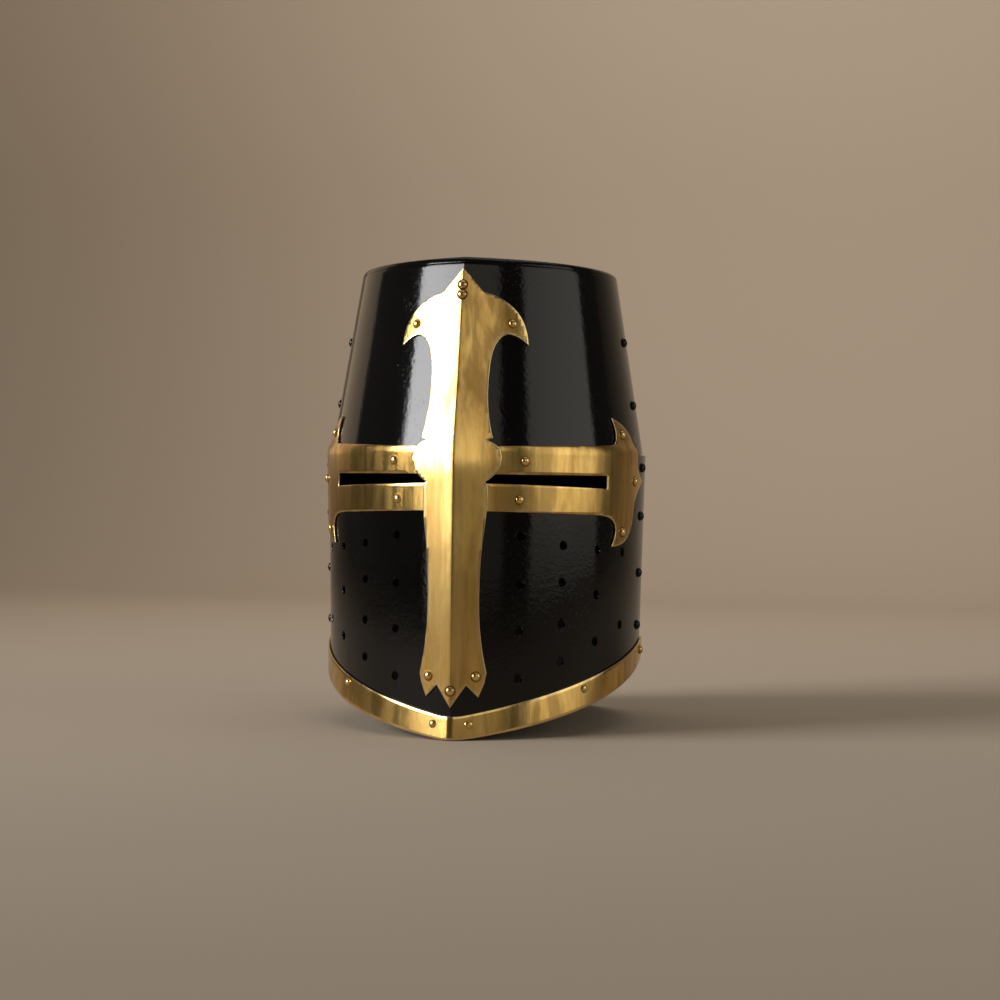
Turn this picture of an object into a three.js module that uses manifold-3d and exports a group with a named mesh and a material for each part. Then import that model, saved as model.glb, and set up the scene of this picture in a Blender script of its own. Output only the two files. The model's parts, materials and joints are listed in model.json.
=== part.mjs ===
// A great helm: a riveted steel helmet of five black plates with a brass cross, a brass rim,
// a laced leather liner and a leather chin strap. Millimetres, +Z up, the face looks along -Y.
// The origin is the middle of the helm's footprint, on the surface that the helm stands on.

import * as THREE from "three";
import { mergeVertices } from "three/addons/utils/BufferGeometryUtils.js";
import Module from "manifold-3d";

const wasm = await Module();
wasm.setup();

// ---------- driving dimensions ----------

const STEEL = 1.6; // thickness of the plates
const BRASS = 1.2; // thickness of the cross and the rim
const LEATHER = 2.5;
const GAP = 0.3; // air between pieces that touch
const LAYER = STEEL + GAP; // one plate's place under another

const WALL_TOP = 315; // upper edge of the wall
const TUCK = 176; // lower edge of the upper plates, hidden inside the lower ones
const BROW = 190; // upper edge of the lower plates, where the cone starts
const CROWN = 318; // height of the crown plate's edge

// The wall's plan at its foot, at the brow and at the crown: half width, and reach from the widest line.
const STATIONS = [0, BROW, CROWN];
const HALF_WIDTH = [109.9, 114.1, 93.4];
const FRONT_REACH = [147.6, 144.6, 116.6];
const BACK_RATIO = 1.18; // reach of the back over the half width
const KEEL = THREE.MathUtils.degToRad(20.5); // slant of each half of the face from the ridge
const FACE_FULLNESS = 0.84; // weight of the conic between ridge and side
const WIDEST_Y = 7.9; // where the widest line lies in the part's own frame

const SIDE_ARCH = 46.5; // rise of the lower edge at the sides, for the shoulders
const TIP_FLAT = 0.8; // depth filed off the point of the face, which the helm stands on
const NECK_FLAT_Y = 120; // behind this the neck's edge is level, and the helm stands on it too
const RIM_WIDTH = 15.5;

const FRONT_STEPS = 14; // facets from the ridge to the side
const BACK_STEPS = 10; // facets from the side to the middle of the back
const SEAM_START = 12 / FRONT_STEPS; // where the back plates start, under the front ones

// ---------- the wall ----------

// Place between the wall's foot, brow and crown, for one of the lists above.
function atHeight(values, z) {
  const i = z < STATIONS[1] ? 0 : 1;
  const share = (z - STATIONS[i]) / (STATIONS[i + 1] - STATIONS[i]);
  return values[i] + (values[i + 1] - values[i]) * share;
}

// A point of the wall. u runs from 0 at the ridge through 1 at the side to 2 at the middle of the back,
// and is negative on the -X half. offset moves the point outwards, level.
function wallPoint(u, z, offset = 0) {
  const side = u < 0 ? -1 : 1;
  const v = Math.abs(u);
  const half = atHeight(HALF_WIDTH, z) + offset;
  if (v > 1) {
    const back = BACK_RATIO * atHeight(HALF_WIDTH, z) + offset;
    const angle = ((v - 1) * Math.PI) / 2;
    return new THREE.Vector3(side * half * Math.cos(angle), back * Math.sin(angle), z);
  }
  const front = atHeight(FRONT_REACH, z) + offset / Math.cos(KEEL);
  const [start, pull, end] = [(1 - v) ** 2, 2 * FACE_FULLNESS * v * (1 - v), v * v];
  const sum = start + pull + end;
  const x = (half * (pull + end)) / sum;
  const y = (-front * start + (half * Math.tan(KEEL) - front) * pull) / sum;
  return new THREE.Vector3(side * x, y, z);
}

function wallNormal(u, z) {
  const step = 1e-3;
  const along = wallPoint(u + step, z).sub(wallPoint(u - step, z));
  const up = wallPoint(u, z + step).sub(wallPoint(u, z - step));
  if (u === 0) along.set(1, 0, 0);
  return along.cross(up).normalize();
}

// Stations across the face. Every plate shares them, so that the facets of neighbours lie parallel.
function stations(from, to) {
  const all = [];
  for (let i = -FRONT_STEPS; i <= FRONT_STEPS; i++) all.push(i / FRONT_STEPS);
  return all.filter((u) => u > from - 1e-6 && u < to + 1e-6);
}

// Stations of a piece that goes round the back, from the +X side to the -X side.
function backStations(start) {
  const half = [];
  for (let i = Math.round(start * FRONT_STEPS); i < FRONT_STEPS; i++) half.push(i / FRONT_STEPS);
  for (let i = 0; i <= BACK_STEPS; i++) half.push(1 + i / BACK_STEPS);
  const other = half.slice(0, -1).reverse().map((u) => -u);
  return [...half, ...other];
}

// Height of the helm's lower edge. It rises straight from the face's point, arches over the shoulder
// and comes down again to the neck.
function edgeHeight(u) {
  const y = wallPoint(u, 0).y;
  const slope = SIDE_ARCH / FRONT_REACH[0];
  if (y < 0) return Math.max(0, SIDE_ARCH + slope * y - TIP_FLAT);
  const s = Math.min(1, y / NECK_FLAT_Y);
  const drop = 2 * s ** 3 - 3 * s ** 2 + 1;
  const run = s ** 3 - 2 * s ** 2 + s;
  return (SIDE_ARCH - TIP_FLAT) * drop + slope * NECK_FLAT_Y * run;
}

// Height of the rim's upper edge. The band is widest half way round the face.
function rimTop(u) {
  const bulge = Math.abs(u) < 1 ? 3 * Math.sin(Math.PI * Math.abs(u)) : 0;
  return edgeHeight(u) + RIM_WIDTH + bulge;
}

// How far the brass steps in above the lower plates' edge, to lie on the upper ones.
const STEP = [BROW + 2, BROW + 8];
function seat(z) {
  return -LAYER * THREE.MathUtils.clamp((z - STEP[0]) / (STEP[1] - STEP[0]), 0, 1);
}

// ---------- solids ----------

function toSolid(geometry) {
  const bare = geometry.index ? geometry.toNonIndexed() : geometry.clone();
  bare.deleteAttribute("normal");
  bare.deleteAttribute("uv");
  const merged = mergeVertices(bare, 1e-4);
  const triVerts = new Uint32Array(merged.index.array);
  const vertProperties = merged.attributes.position.array;
  return new wasm.Manifold(new wasm.Mesh({ numProp: 3, vertProperties, triVerts }));
}

function toGeometry(solid) {
  const mesh = solid.getMesh();
  const geometry = new THREE.BufferGeometry();
  geometry.setAttribute("position", new THREE.BufferAttribute(mesh.vertProperties, 3));
  geometry.setIndex(new THREE.BufferAttribute(mesh.triVerts, 1));
  return geometry;
}

// Skins a row of rings of points, each with the same even number. The ends get ladders of quads,
// unless the row closes on itself.
function loft(rings, closed = false) {
  const count = rings[0].length;
  const positions = rings.flat().flatMap((p) => [p.x, p.y, p.z]);
  const faces = [];
  const quad = (a, b, c, d) => faces.push(a, b, c, a, c, d);
  const last = closed ? rings.length : rings.length - 1;
  for (let i = 0; i < last; i++) {
    const [here, next] = [i * count, ((i + 1) % rings.length) * count];
    for (let k = 0; k < count; k++) {
      const up = (k + 1) % count;
      quad(here + k, next + k, next + up, here + up);
    }
  }
  if (!closed) {
    const end = (rings.length - 1) * count;
    for (let k = 0; k < count / 2 - 1; k++) {
      quad(k, k + 1, count - 2 - k, count - 1 - k);
      quad(end + count - 1 - k, end + count - 2 - k, end + k + 1, end + k);
    }
  }
  const geometry = new THREE.BufferGeometry();
  geometry.setAttribute("position", new THREE.Float32BufferAttribute(positions, 3));
  geometry.setIndex(faces);
  return toSolid(geometry);
}

// A curved plate on the wall. rows give its heights from the bottom up, and outer and inner its two
// faces as offsets from the wall.
function plate(us, rows, outer, inner, closed = false) {
  const rings = us.map((u) => {
    const out = rows.map((row) => wallPoint(u, row(u), outer(row(u), u)));
    const back = rows.map((row) => wallPoint(u, row(u), inner(row(u), u)));
    return [...out, ...back.reverse()];
  });
  return loft(rings, closed);
}

const level = (z) => () => z;

// A drill through the wall at a place, as a prism with the given number of sides.
function drill(u, z, radius, sides, depth = 24) {
  const bit = new THREE.CylinderGeometry(radius, radius, depth, sides);
  bit.rotateX(Math.PI / 2);
  const turn = new THREE.Quaternion().setFromUnitVectors(new THREE.Vector3(0, 0, 1), wallNormal(u, z));
  bit.applyQuaternion(turn);
  const centre = wallPoint(u, z);
  bit.translate(centre.x, centre.y, centre.z);
  return toSolid(bit);
}

// A prism through the whole helm, from an outline in front view (x, z), in front of y = nearest.
function frontPrism(shape, nearest) {
  const geometry = new THREE.ExtrudeGeometry(shape, { depth: 200, bevelEnabled: false, curveSegments: 6 });
  geometry.rotateX(Math.PI / 2);
  geometry.translate(0, nearest, 0);
  return toSolid(geometry);
}

// A prism from an outline in side view (y, z), on the +X side.
function sidePrism(shape) {
  const geometry = new THREE.ExtrudeGeometry(shape, { depth: 150, bevelEnabled: false, curveSegments: 6 });
  const axes = [new THREE.Vector3(0, 1, 0), new THREE.Vector3(0, 0, 1), new THREE.Vector3(1, 0, 0)];
  geometry.applyMatrix4(new THREE.Matrix4().makeBasis(...axes));
  return toSolid(geometry);
}

function outline(points) {
  return new THREE.Shape(points.map(([a, b]) => new THREE.Vector2(a, b)));
}

function block(x, y, z, centre) {
  const geometry = new THREE.BoxGeometry(x, y, z);
  geometry.translate(centre.x, centre.y, centre.z);
  return toSolid(geometry);
}

// ---------- materials ----------

const blackPaint = new THREE.MeshStandardMaterial({ color: 0x0b0b0c, roughness: 0.28, metalness: 0.3 });
const brass = new THREE.MeshStandardMaterial({ color: 0xb5944e, roughness: 0.32, metalness: 1 });
const brassRivet = new THREE.MeshStandardMaterial({ color: 0xc9ab66, roughness: 0.28, metalness: 1 });
const brownLeather = new THREE.MeshStandardMaterial({ color: 0x5b3420, roughness: 0.65, metalness: 0 });
const thong = new THREE.MeshStandardMaterial({ color: 0x8a6238, roughness: 0.7, metalness: 0 });

const helm = new THREE.Group();
helm.position.y = WIDEST_Y;

const chinStrap = new THREE.Group();
helm.add(chinStrap);

function addPiece(name, solid, material, parent = helm) {
  const mesh = new THREE.Mesh(toGeometry(solid.simplify(0.02)), material);
  mesh.name = name;
  parent.add(mesh);
  return mesh;
}

// ---------- plates ----------

const plates = {};

plates.upper_front_plate = plate(
  stations(-1, 1),
  [level(TUCK), level(BROW), level(WALL_TOP)],
  () => -LAYER,
  () => -LAYER - STEEL,
);

plates.upper_back_plate = plate(
  backStations(SEAM_START),
  [level(TUCK), level(BROW), level(WALL_TOP)],
  () => -2 * LAYER,
  () => -2 * LAYER - STEEL,
);

plates.lower_front_plate = plate(
  stations(-1, 1),
  [edgeHeight, level(BROW)],
  () => 0,
  () => -STEEL,
);

plates.lower_back_plate = plate(
  backStations(SEAM_START),
  [edgeHeight, level(BROW)],
  () => -LAYER,
  () => -LAYER - STEEL,
);

// The sights, and the corners of the upper front plate that make room for the lower back plate.
const SIGHT = [15, 93.5]; // from and to this far from the ridge
const SIGHT_HEIGHTS = [167.6, 165.4, 174.2, 173.4]; // inner foot, outer foot, outer top, inner top
const CORNER_Y = -27;

for (const side of [-1, 1]) {
  const [footIn, footOut, topOut, topIn] = SIGHT_HEIGHTS;
  const points = [[SIGHT[0], footIn], [SIGHT[1], footOut], [SIGHT[1], topOut], [SIGHT[0], topIn]];
  const turned = points.map(([x, z]) => [side * x, z]);
  const cut = frontPrism(outline(side < 0 ? turned.reverse() : turned), -60);
  plates.lower_front_plate = plates.lower_front_plate.subtract(cut);
  const corner = block(60, 60, 30, new THREE.Vector3(side * 110, CORNER_Y + 30, BROW + GAP - 15));
  plates.upper_front_plate = plates.upper_front_plate.subtract(corner);
}

// Breath holes in the face plate: columns from the cross outwards, each with its heights.
const BREATH_RADIUS = 3;
const BREATH_COLUMNS = [
  [0.231, [133, 101, 71, 39.5]],
  [0.392, [127, 102.5, 75, 50]],
  [0.553, [124, 93.5, 62]],
  [0.71, [122, 72]],
];
for (const [u, heights] of BREATH_COLUMNS) {
  for (const z of heights) {
    for (const side of [-1, 1]) {
      const bit = drill(side * u, z, BREATH_RADIUS, 8);
      plates.lower_front_plate = plates.lower_front_plate.subtract(bit);
    }
  }
}

// The crown: a low dome with a rounded edge over the wall, and a flange down inside it.
const FLANGE_FOOT = 286;
const CROWN_CENTRE_Y = -8;

function crownRing(u) {
  const front = Math.abs(u) < SEAM_START - 0.01;
  const edge = Math.abs(u) < 1.01 ? -LAYER : -2 * LAYER;
  const flange = front ? -2 * LAYER : -3 * LAYER;
  const rim = (offset, z) => wallPoint(u, Math.min(z, CROWN), offset).setZ(z);
  const dome = (share, z) => rim(edge, CROWN).sub(middle).multiplyScalar(share).add(middle).setZ(z);
  const middle = new THREE.Vector3(0, CROWN_CENTRE_Y, 0);
  return [
    rim(flange, FLANGE_FOOT),
    rim(flange, WALL_TOP + GAP),
    rim(edge, WALL_TOP + GAP),
    rim(edge - 0.2, CROWN - 0.8),
    rim(edge - 1.6, CROWN + 0.6),
    dome(0.9, CROWN + 1.8),
    dome(0.45, CROWN + 5),
    dome(0.45, CROWN + 5 - STEEL),
    dome(0.88, CROWN + 1.8 - STEEL),
    rim(flange - STEEL, CROWN - 1.6),
    rim(flange - STEEL, FLANGE_FOOT),
  ];
}

const roundTheHelm = [...stations(-1, 1), ...backStations(1).slice(1, -1)];
const crownMiddle = (() => {
  const disc = roundTheHelm.map((u) => {
    const ring = crownRing(u);
    return [ring[6], ring[7]];
  });
  const positions = disc.flat().flatMap((p) => [p.x, p.y, p.z]);
  const [top, bottom] = [positions.length / 3, positions.length / 3 + 1];
  positions.push(0, CROWN_CENTRE_Y, CROWN + 6, 0, CROWN_CENTRE_Y, CROWN + 6 - STEEL);
  const faces = [];
  disc.forEach((_, i) => {
    const [a, b] = [2 * i, 2 * ((i + 1) % disc.length)];
    faces.push(a, b, top, b + 1, a + 1, bottom, a, a + 1, b, b, a + 1, b + 1);
  });
  const geometry = new THREE.BufferGeometry();
  geometry.setAttribute("position", new THREE.Float32BufferAttribute(positions, 3));
  geometry.setIndex(faces);
  return toSolid(geometry);
})();
plates.crown_plate = loft(roundTheHelm.map(crownRing), true).add(crownMiddle);

// ---------- brass ----------

// The upright of the cross, folded along the ridge. It rides up over the arms.
const ARM_REACH = [116, 147.5, STEP[0] + 1, STEP[1] + 18];
function overArms(z) {
  const [start, on, off, end] = ARM_REACH;
  const rise = THREE.MathUtils.clamp((z - start) / (on - start), 0, 1);
  const fall = THREE.MathUtils.clamp((end - z) / (end - off), 0, 1);
  return (BRASS + GAP) * Math.min(rise, fall);
}

function uprightHalf(side) {
  const shape = new THREE.Shape();
  const x = (value) => side * value;
  shape.moveTo(0, 311.4);
  shape.lineTo(x(14), 295);
  shape.quadraticCurveTo(x(41), 289, x(43.2), 260);
  shape.quadraticCurveTo(x(37), 266.5, x(30), 267.2);
  shape.quadraticCurveTo(x(20.5), 264, x(19.6), 243);
  shape.quadraticCurveTo(x(17.8), 218, x(23.4), 197.3);
  shape.lineTo(x(20.4), 195.8);
  shape.quadraticCurveTo(x(29.5), 192.5, x(29), 183);
  shape.quadraticCurveTo(x(28.3), 174, x(19.3), 168.3);
  shape.lineTo(x(20.8), 165.5);
  shape.quadraticCurveTo(x(21.2), 152, x(19.3), 137);
  shape.quadraticCurveTo(x(16.8), 119, x(16.8), 91);
  shape.quadraticCurveTo(x(16.8), 66, x(22), 43.5);
  shape.lineTo(x(20.7), 36.8);
  shape.lineTo(x(17.2), 27.7);
  shape.lineTo(x(9.6), 35.7);
  shape.lineTo(0, 21.1);
  return frontPrism(shape, -60);
}

const uprightRows = [
  15, ARM_REACH[0], ARM_REACH[1], BROW, STEP[0], ARM_REACH[2], STEP[1], ARM_REACH[3], WALL_TOP,
];
const uprightSheet = plate(
  stations(-0.36, 0.36),
  uprightRows.map(level),
  (z) => seat(z) + overArms(z) + GAP + BRASS,
  (z) => seat(z) + overArms(z) + GAP,
);
plates.cross_upright = uprightSheet.intersect(uprightHalf(1).add(uprightHalf(-1)));

// An arm of the cross frames one sight and ends in a crescent on the temple.
const ARM_START = 1 / FRONT_STEPS;

function armOutline() {
  const shape = new THREE.Shape();
  shape.moveTo(-160, 149.3);
  shape.lineTo(-80, 147.4);
  shape.quadraticCurveTo(-64, 146.6, -62.6, 138.5);
  shape.quadraticCurveTo(-62.4, 132.5, -67, 125.8);
  shape.quadraticCurveTo(-43.5, 126, -38.8, 147);
  shape.quadraticCurveTo(-39.5, 160, -21, 171.6);
  shape.quadraticCurveTo(-35, 178, -32.2, 188);
  shape.quadraticCurveTo(-33, 207.5, -60.3, 214.4);
  shape.quadraticCurveTo(-56.2, 206, -58.6, 200.5);
  shape.quadraticCurveTo(-59.6, 195.9, -65, 195.3);
  shape.lineTo(-160, 190.8);
  const sight = new THREE.Path();
  sight.moveTo(-140.5, SIGHT_HEIGHTS[3]);
  sight.lineTo(-72.5, SIGHT_HEIGHTS[2]);
  sight.lineTo(-72.5, SIGHT_HEIGHTS[1]);
  sight.lineTo(-140.5, SIGHT_HEIGHTS[0]);
  shape.holes.push(sight);
  return shape;
}

const armSheet = plate(
  stations(ARM_START, 13 / FRONT_STEPS),
  [level(122), level(BROW), level(STEP[0]), level(STEP[1]), level(220)],
  (z) => seat(z) + GAP + BRASS,
  (z) => seat(z) + GAP,
);
plates.cross_arm = armSheet.intersect(sidePrism(armOutline()));

// The rim: one strip round the face and one round the neck, on the outside of the lower plates. The
// steel stands a little lower, and the helm rests on it.
const RIM_LIFT = 0.5;
const rimFoot = (u) => edgeHeight(u) + RIM_LIFT;
plates.rim_front = plate(
  stations(-1, 1),
  [rimFoot, rimTop],
  () => GAP + BRASS,
  () => GAP,
);
const NECK_START = 1.006; // just behind the end of the front strip
plates.rim_back = plate(
  [NECK_START, ...backStations(1).slice(1, -1), -NECK_START],
  [rimFoot, rimTop],
  () => -LAYER + GAP + BRASS,
  () => -LAYER + GAP,
);

// ---------- leather liner ----------

// One piece of leather: a band riveted round the brow, cut above into tongues that bend in over
// the head and are drawn together by a lace.
const BAND = [177, 207];
const BAND_FACE = -5.8; // its outer face
const TONGUES = 8;
const TONGUE_TOP = 288;
const TONGUE_REACH = 0.24; // how near the tips come to the middle, as a share
const LACE_PLACE = 0.9; // where the lace crosses the tongues

// A point of the liner above the band: v is 0 at the band and 1 at the tips.
function tonguePoint(turn, v, lift) {
  const around = ((turn + 2) % 4 + 4) % 4 - 2;
  const middle = new THREE.Vector3(0, -4, 0);
  const angle = (v * Math.PI) / 2;
  const base = wallPoint(around, BAND[1] - 2, BAND_FACE - LEATHER / 2 - 0.9).sub(middle).setZ(0);
  const share = TONGUE_REACH + (1 - TONGUE_REACH) * Math.cos(angle) ** 2;
  const outward = base.clone().normalize().multiplyScalar(lift * Math.cos(angle));
  const height = BAND[1] - 2 + (TONGUE_TOP - BAND[1]) * Math.sin(angle) + lift * Math.sin(angle);
  return base.multiplyScalar(share).add(outward).add(middle).setZ(height);
}

function tongue(index) {
  const centre = ((index + 0.5) * 4) / TONGUES;
  const rings = [];
  const [across, along] = [2, 5];
  for (let i = 0; i <= across; i++) {
    const outer = [];
    const inner = [];
    for (let j = 0; j <= along; j++) {
      const v = j / along;
      const halfWidth = 0.225 - 0.04 * v;
      const turn = centre + halfWidth * ((2 * i) / across - 1);
      outer.push(tonguePoint(turn, v, LEATHER / 2));
      inner.push(tonguePoint(turn, v, -LEATHER / 2));
    }
    rings.push([...outer, ...inner.reverse()]);
  }
  return loft(rings);
}

let liner = plate(
  roundTheHelm,
  [level(BAND[0]), level(BAND[1])],
  () => BAND_FACE,
  () => BAND_FACE - LEATHER,
  true,
);
for (let i = 0; i < TONGUES; i++) liner = liner.add(tongue(i));

// The lace passes down through one tongue and up through the next.
const LACE_RADIUS = 1.2;
const LACE_WAVE = 3.3;
const laceRings = [];
const laceSteps = TONGUES * 8;

function lacePoint(turn) {
  return tonguePoint(turn, LACE_PLACE, LACE_WAVE * Math.tanh(5 * Math.cos((turn * TONGUES * Math.PI) / 4)));
}

for (let i = 0; i < laceSteps; i++) {
  const turn = ((i + 0.5) * 4) / laceSteps;
  const centre = lacePoint(turn);
  const along = lacePoint(turn + 0.01).sub(lacePoint(turn - 0.01)).normalize();
  const across = along.clone().cross(new THREE.Vector3(0, 0, 1)).normalize();
  const up = across.clone().cross(along);
  const ring = [];
  for (let k = 0; k < 4; k++) {
    const angle = (k * Math.PI) / 2;
    const reach = across.clone().multiplyScalar(Math.cos(angle)).addScaledVector(up, Math.sin(angle));
    ring.push(centre.clone().addScaledVector(reach, LACE_RADIUS));
  }
  laceRings.push(ring);
}
plates.liner_lace = loft(laceRings, true);

for (let i = 0; i < TONGUES; i++) {
  const centre = tonguePoint(((i + 0.5) * 4) / TONGUES, LACE_PLACE, 0);
  const hole = new THREE.CylinderGeometry(4, 4, 14, 8);
  hole.rotateX(Math.PI / 2);
  hole.translate(centre.x, centre.y, centre.z);
  liner = liner.subtract(toSolid(hole));
}
plates.liner = liner;

// ---------- chin strap ----------

// The strap hangs in a loop from a rivet on each side, buckled near the +X side. Along the loop,
// angle is 0 at the +X rivet and 180 at the -X one, and lift is the distance outside the loop.
const PIVOT_Z = 147;
const PIVOT_TURN = 0.905; // place of the rivets round the wall
const LOOP = [101.3, 119]; // half width and drop of the loop's inner face
const STRAP_WIDTH = 20;
const strapRoot = wallPoint(PIVOT_TURN, PIVOT_Z);
const strapAim = wallNormal(PIVOT_TURN, PIVOT_Z);
const PIVOT_Y = strapRoot.y - (strapAim.y / strapAim.x) * (strapRoot.x - LOOP[0] - LEATHER / 2);

function loopPoint(degrees, lift, y = PIVOT_Y) {
  const angle = THREE.MathUtils.degToRad(degrees);
  const [a, b] = LOOP;
  const out = new THREE.Vector2(b * Math.cos(angle), a * Math.sin(angle)).normalize().multiplyScalar(lift);
  return new THREE.Vector3(a * Math.cos(angle) + out.x, y, PIVOT_Z - b * Math.sin(angle) - out.y);
}

// A strap along a path of [degrees, lift of its middle] pairs.
function strap(path, width = STRAP_WIDTH, thickness = LEATHER) {
  const centres = path.map(([degrees, lift]) => loopPoint(degrees, lift));
  const rings = centres.map((centre, i) => {
    const before = centres[Math.max(i - 1, 0)];
    const after = centres[Math.min(i + 1, centres.length - 1)];
    const along = after.clone().sub(before).normalize();
    const out = along.clone().cross(new THREE.Vector3(0, 1, 0)).multiplyScalar(thickness / 2);
    const across = new THREE.Vector3(0, width / 2, 0);
    return [
      centre.clone().add(out).add(across),
      centre.clone().sub(out).add(across),
      centre.clone().sub(out).sub(across),
      centre.clone().add(out).sub(across),
    ];
  });
  return loft(rings);
}

function steps(from, to, count, lift) {
  return Array.from({ length: count + 1 }, (_, i) => {
    const degrees = from + ((to - from) * i) / count;
    return [degrees, lift(i / count)];
  });
}

const BUCKLE_AT = 52; // place of the bar that the buckle turns on
const BUCKLE_END = 62.5; // place of the far bar
const BAR = 1.5; // radius of the buckle's wire
const FOLD = BAR + 0.5 + LEATHER / 2; // radius of the strap's fold round the bar
const BAR_LIFT = LEATHER / 2 - FOLD;
const DEGREE = 2; // about how many millimetres one degree of the loop is at the buckle

const foldSteps = [75, 40, 0, -40, -75].map((tilt) => {
  const angle = THREE.MathUtils.degToRad(tilt);
  return [BUCKLE_AT + (FOLD * Math.cos(angle)) / DEGREE, BAR_LIFT + FOLD * Math.sin(angle)];
});
const shortPath = [
  ...steps(-4, BUCKLE_AT - 0.5, 8, () => LEATHER / 2),
  ...foldSteps,
  [BUCKLE_AT - 1.5, BAR_LIFT - FOLD + 0.2],
  [BUCKLE_AT - 5, -LEATHER / 2 - GAP - 0.4],
  [BUCKLE_AT - 14, -LEATHER / 2 - GAP],
];
const underBar = BAR_LIFT - FOLD;
const overStrap = LEATHER * 1.5 + GAP;
const longPath = [
  ...steps(18, BUCKLE_AT - 1, 5, () => overStrap),
  [BUCKLE_AT + 1.8, overStrap - 0.3],
  [BUCKLE_AT + 5, (overStrap + underBar) / 2],
  [BUCKLE_END - 2.2, underBar + 0.2],
  ...steps(BUCKLE_END + 1, 184, 14, (share) =>
    underBar + (LEATHER / 2 - underBar) * Math.min(1, share * 1.15)),
];

const pivotHole = (side) => {
  const bit = new THREE.CylinderGeometry(2.6, 2.6, 20, 12);
  bit.rotateZ(Math.PI / 2);
  bit.translate(side * 101, PIVOT_Y, PIVOT_Z);
  return toSolid(bit);
};
const prongSlot = (degrees, length, lift) => {
  const centre = loopPoint(degrees, lift);
  const slot = new THREE.BoxGeometry(length, 4.4, 14);
  slot.rotateY(THREE.MathUtils.degToRad(180 - degrees + 90));
  slot.translate(centre.x, centre.y, centre.z);
  return toSolid(slot);
};
plates.chin_strap_short = strap(shortPath)
  .subtract(pivotHole(1))
  .subtract(prongSlot(BUCKLE_AT + 1, 9, BAR_LIFT));
plates.chin_strap_long = strap(longPath)
  .subtract(pivotHole(-1))
  .subtract(prongSlot(BUCKLE_AT + 5, 8, (overStrap + underBar) / 2));

// The buckle: a wire frame, and a prong that turns on one of its bars and rests on the other.
function bar(from, to, radius, sides = 8) {
  const along = to.clone().sub(from);
  const rod = new THREE.CylinderGeometry(radius, radius, along.length(), sides);
  const turn = new THREE.Quaternion();
  turn.setFromUnitVectors(new THREE.Vector3(0, 1, 0), along.clone().normalize());
  rod.applyQuaternion(turn);
  const middle = from.clone().add(to).multiplyScalar(0.5);
  rod.translate(middle.x, middle.y, middle.z);
  return toSolid(rod);
}

const FRAME_HALF = STRAP_WIDTH / 2 + 2.6;
const corner = (degrees, side) => loopPoint(degrees, BAR_LIFT, PIVOT_Y + side * FRAME_HALF);
const corners = [corner(BUCKLE_AT, -1), corner(BUCKLE_AT, 1), corner(BUCKLE_END, 1), corner(BUCKLE_END, -1)];
let frameWire = null;
corners.forEach((from, i) => {
  const to = corners[(i + 1) % corners.length];
  const reach = to.clone().sub(from).normalize().multiplyScalar(BAR * 0.8);
  const side = bar(from.clone().sub(reach), to.clone().add(reach), BAR);
  frameWire = frameWire ? frameWire.add(side) : side;
});
plates.buckle_frame = frameWire;

const PRONG = 1.1;
const prongRest = BAR + GAP + PRONG;
const eye = new THREE.CylinderGeometry(BAR + 2.4, BAR + 2.4, 2 * PRONG + 1, 12);
const eyeCentre = loopPoint(BUCKLE_AT, BAR_LIFT);
eye.translate(eyeCentre.x, eyeCentre.y, eyeCentre.z);
const eyeBore = new THREE.CylinderGeometry(BAR + 0.35, BAR + 0.35, 12, 12);
eyeBore.translate(eyeCentre.x, eyeCentre.y, eyeCentre.z);
const prongWire = bar(
  loopPoint(BUCKLE_AT + 1.3, BAR_LIFT + 0.6),
  loopPoint(BUCKLE_END + 0.9, BAR_LIFT + prongRest + 0.3),
  PRONG,
  6,
);
plates.buckle_prong = prongWire.add(toSolid(eye)).subtract(toSolid(eyeBore));

// The keeper: a leather loop round both straps, above the buckle.
const KEEPER_AT = 33;
const keeperRing = (grow) => {
  const [low, high] = [-0.4 - grow, 2 * LEATHER + GAP + 0.5 + grow];
  const half = STRAP_WIDTH / 2 + 0.6 + grow;
  const edge = (degrees) => [
    loopPoint(degrees, high, PIVOT_Y - half),
    loopPoint(degrees, high, PIVOT_Y + half),
    loopPoint(degrees, low, PIVOT_Y + half),
    loopPoint(degrees, low, PIVOT_Y - half),
  ];
  const reach = grow > 0 ? 2.2 : 4;
  return loft([edge(KEEPER_AT - reach), edge(KEEPER_AT + reach)]);
};
plates.strap_keeper = keeperRing(1.5).subtract(keeperRing(0));

// ---------- rivets ----------

const SHANK = 1.5;
const HOLE = 2;
const TAIL = 2.5;
const STANDOFF = 0.4; // air under the head and over the tail

// A rivet along +Z. Its head's underside is at 0, and its tail is grip below.
function rivet(headRadius, headHeight, grip) {
  const profile = [
    [0, -grip - 1.2],
    [TAIL, -grip],
    [SHANK, -grip],
    [SHANK, 0],
    [headRadius, 0],
    [headRadius * 0.7, headHeight * 0.75],
    [0, headHeight],
  ];
  const geometry = new THREE.LatheGeometry(profile.map(([r, z]) => new THREE.Vector2(r, z)), 8);
  return geometry.rotateX(Math.PI / 2);
}

const brassHead = [3, 2];
const blackHead = [3.4, 2.3];
const OVER_LOWER = GAP + BRASS; // brass face over the lower plates
const OVER_UPPER = OVER_LOWER - LAYER; // brass face over the upper plates
const INNER = [-STEEL, -LAYER - STEEL, -2 * LAYER - STEEL]; // inner face of one, two or three plates
const BAND_INNER = BAND_FACE - LEATHER - 0.9; // with room for its slant under the brow
const RIDGE_ROOM = 1.6; // extra grip in the hollow behind the ridge
const STRAP_INNER = LOOP[0] - wallPoint(PIVOT_TURN, PIVOT_Z).x;

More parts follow.
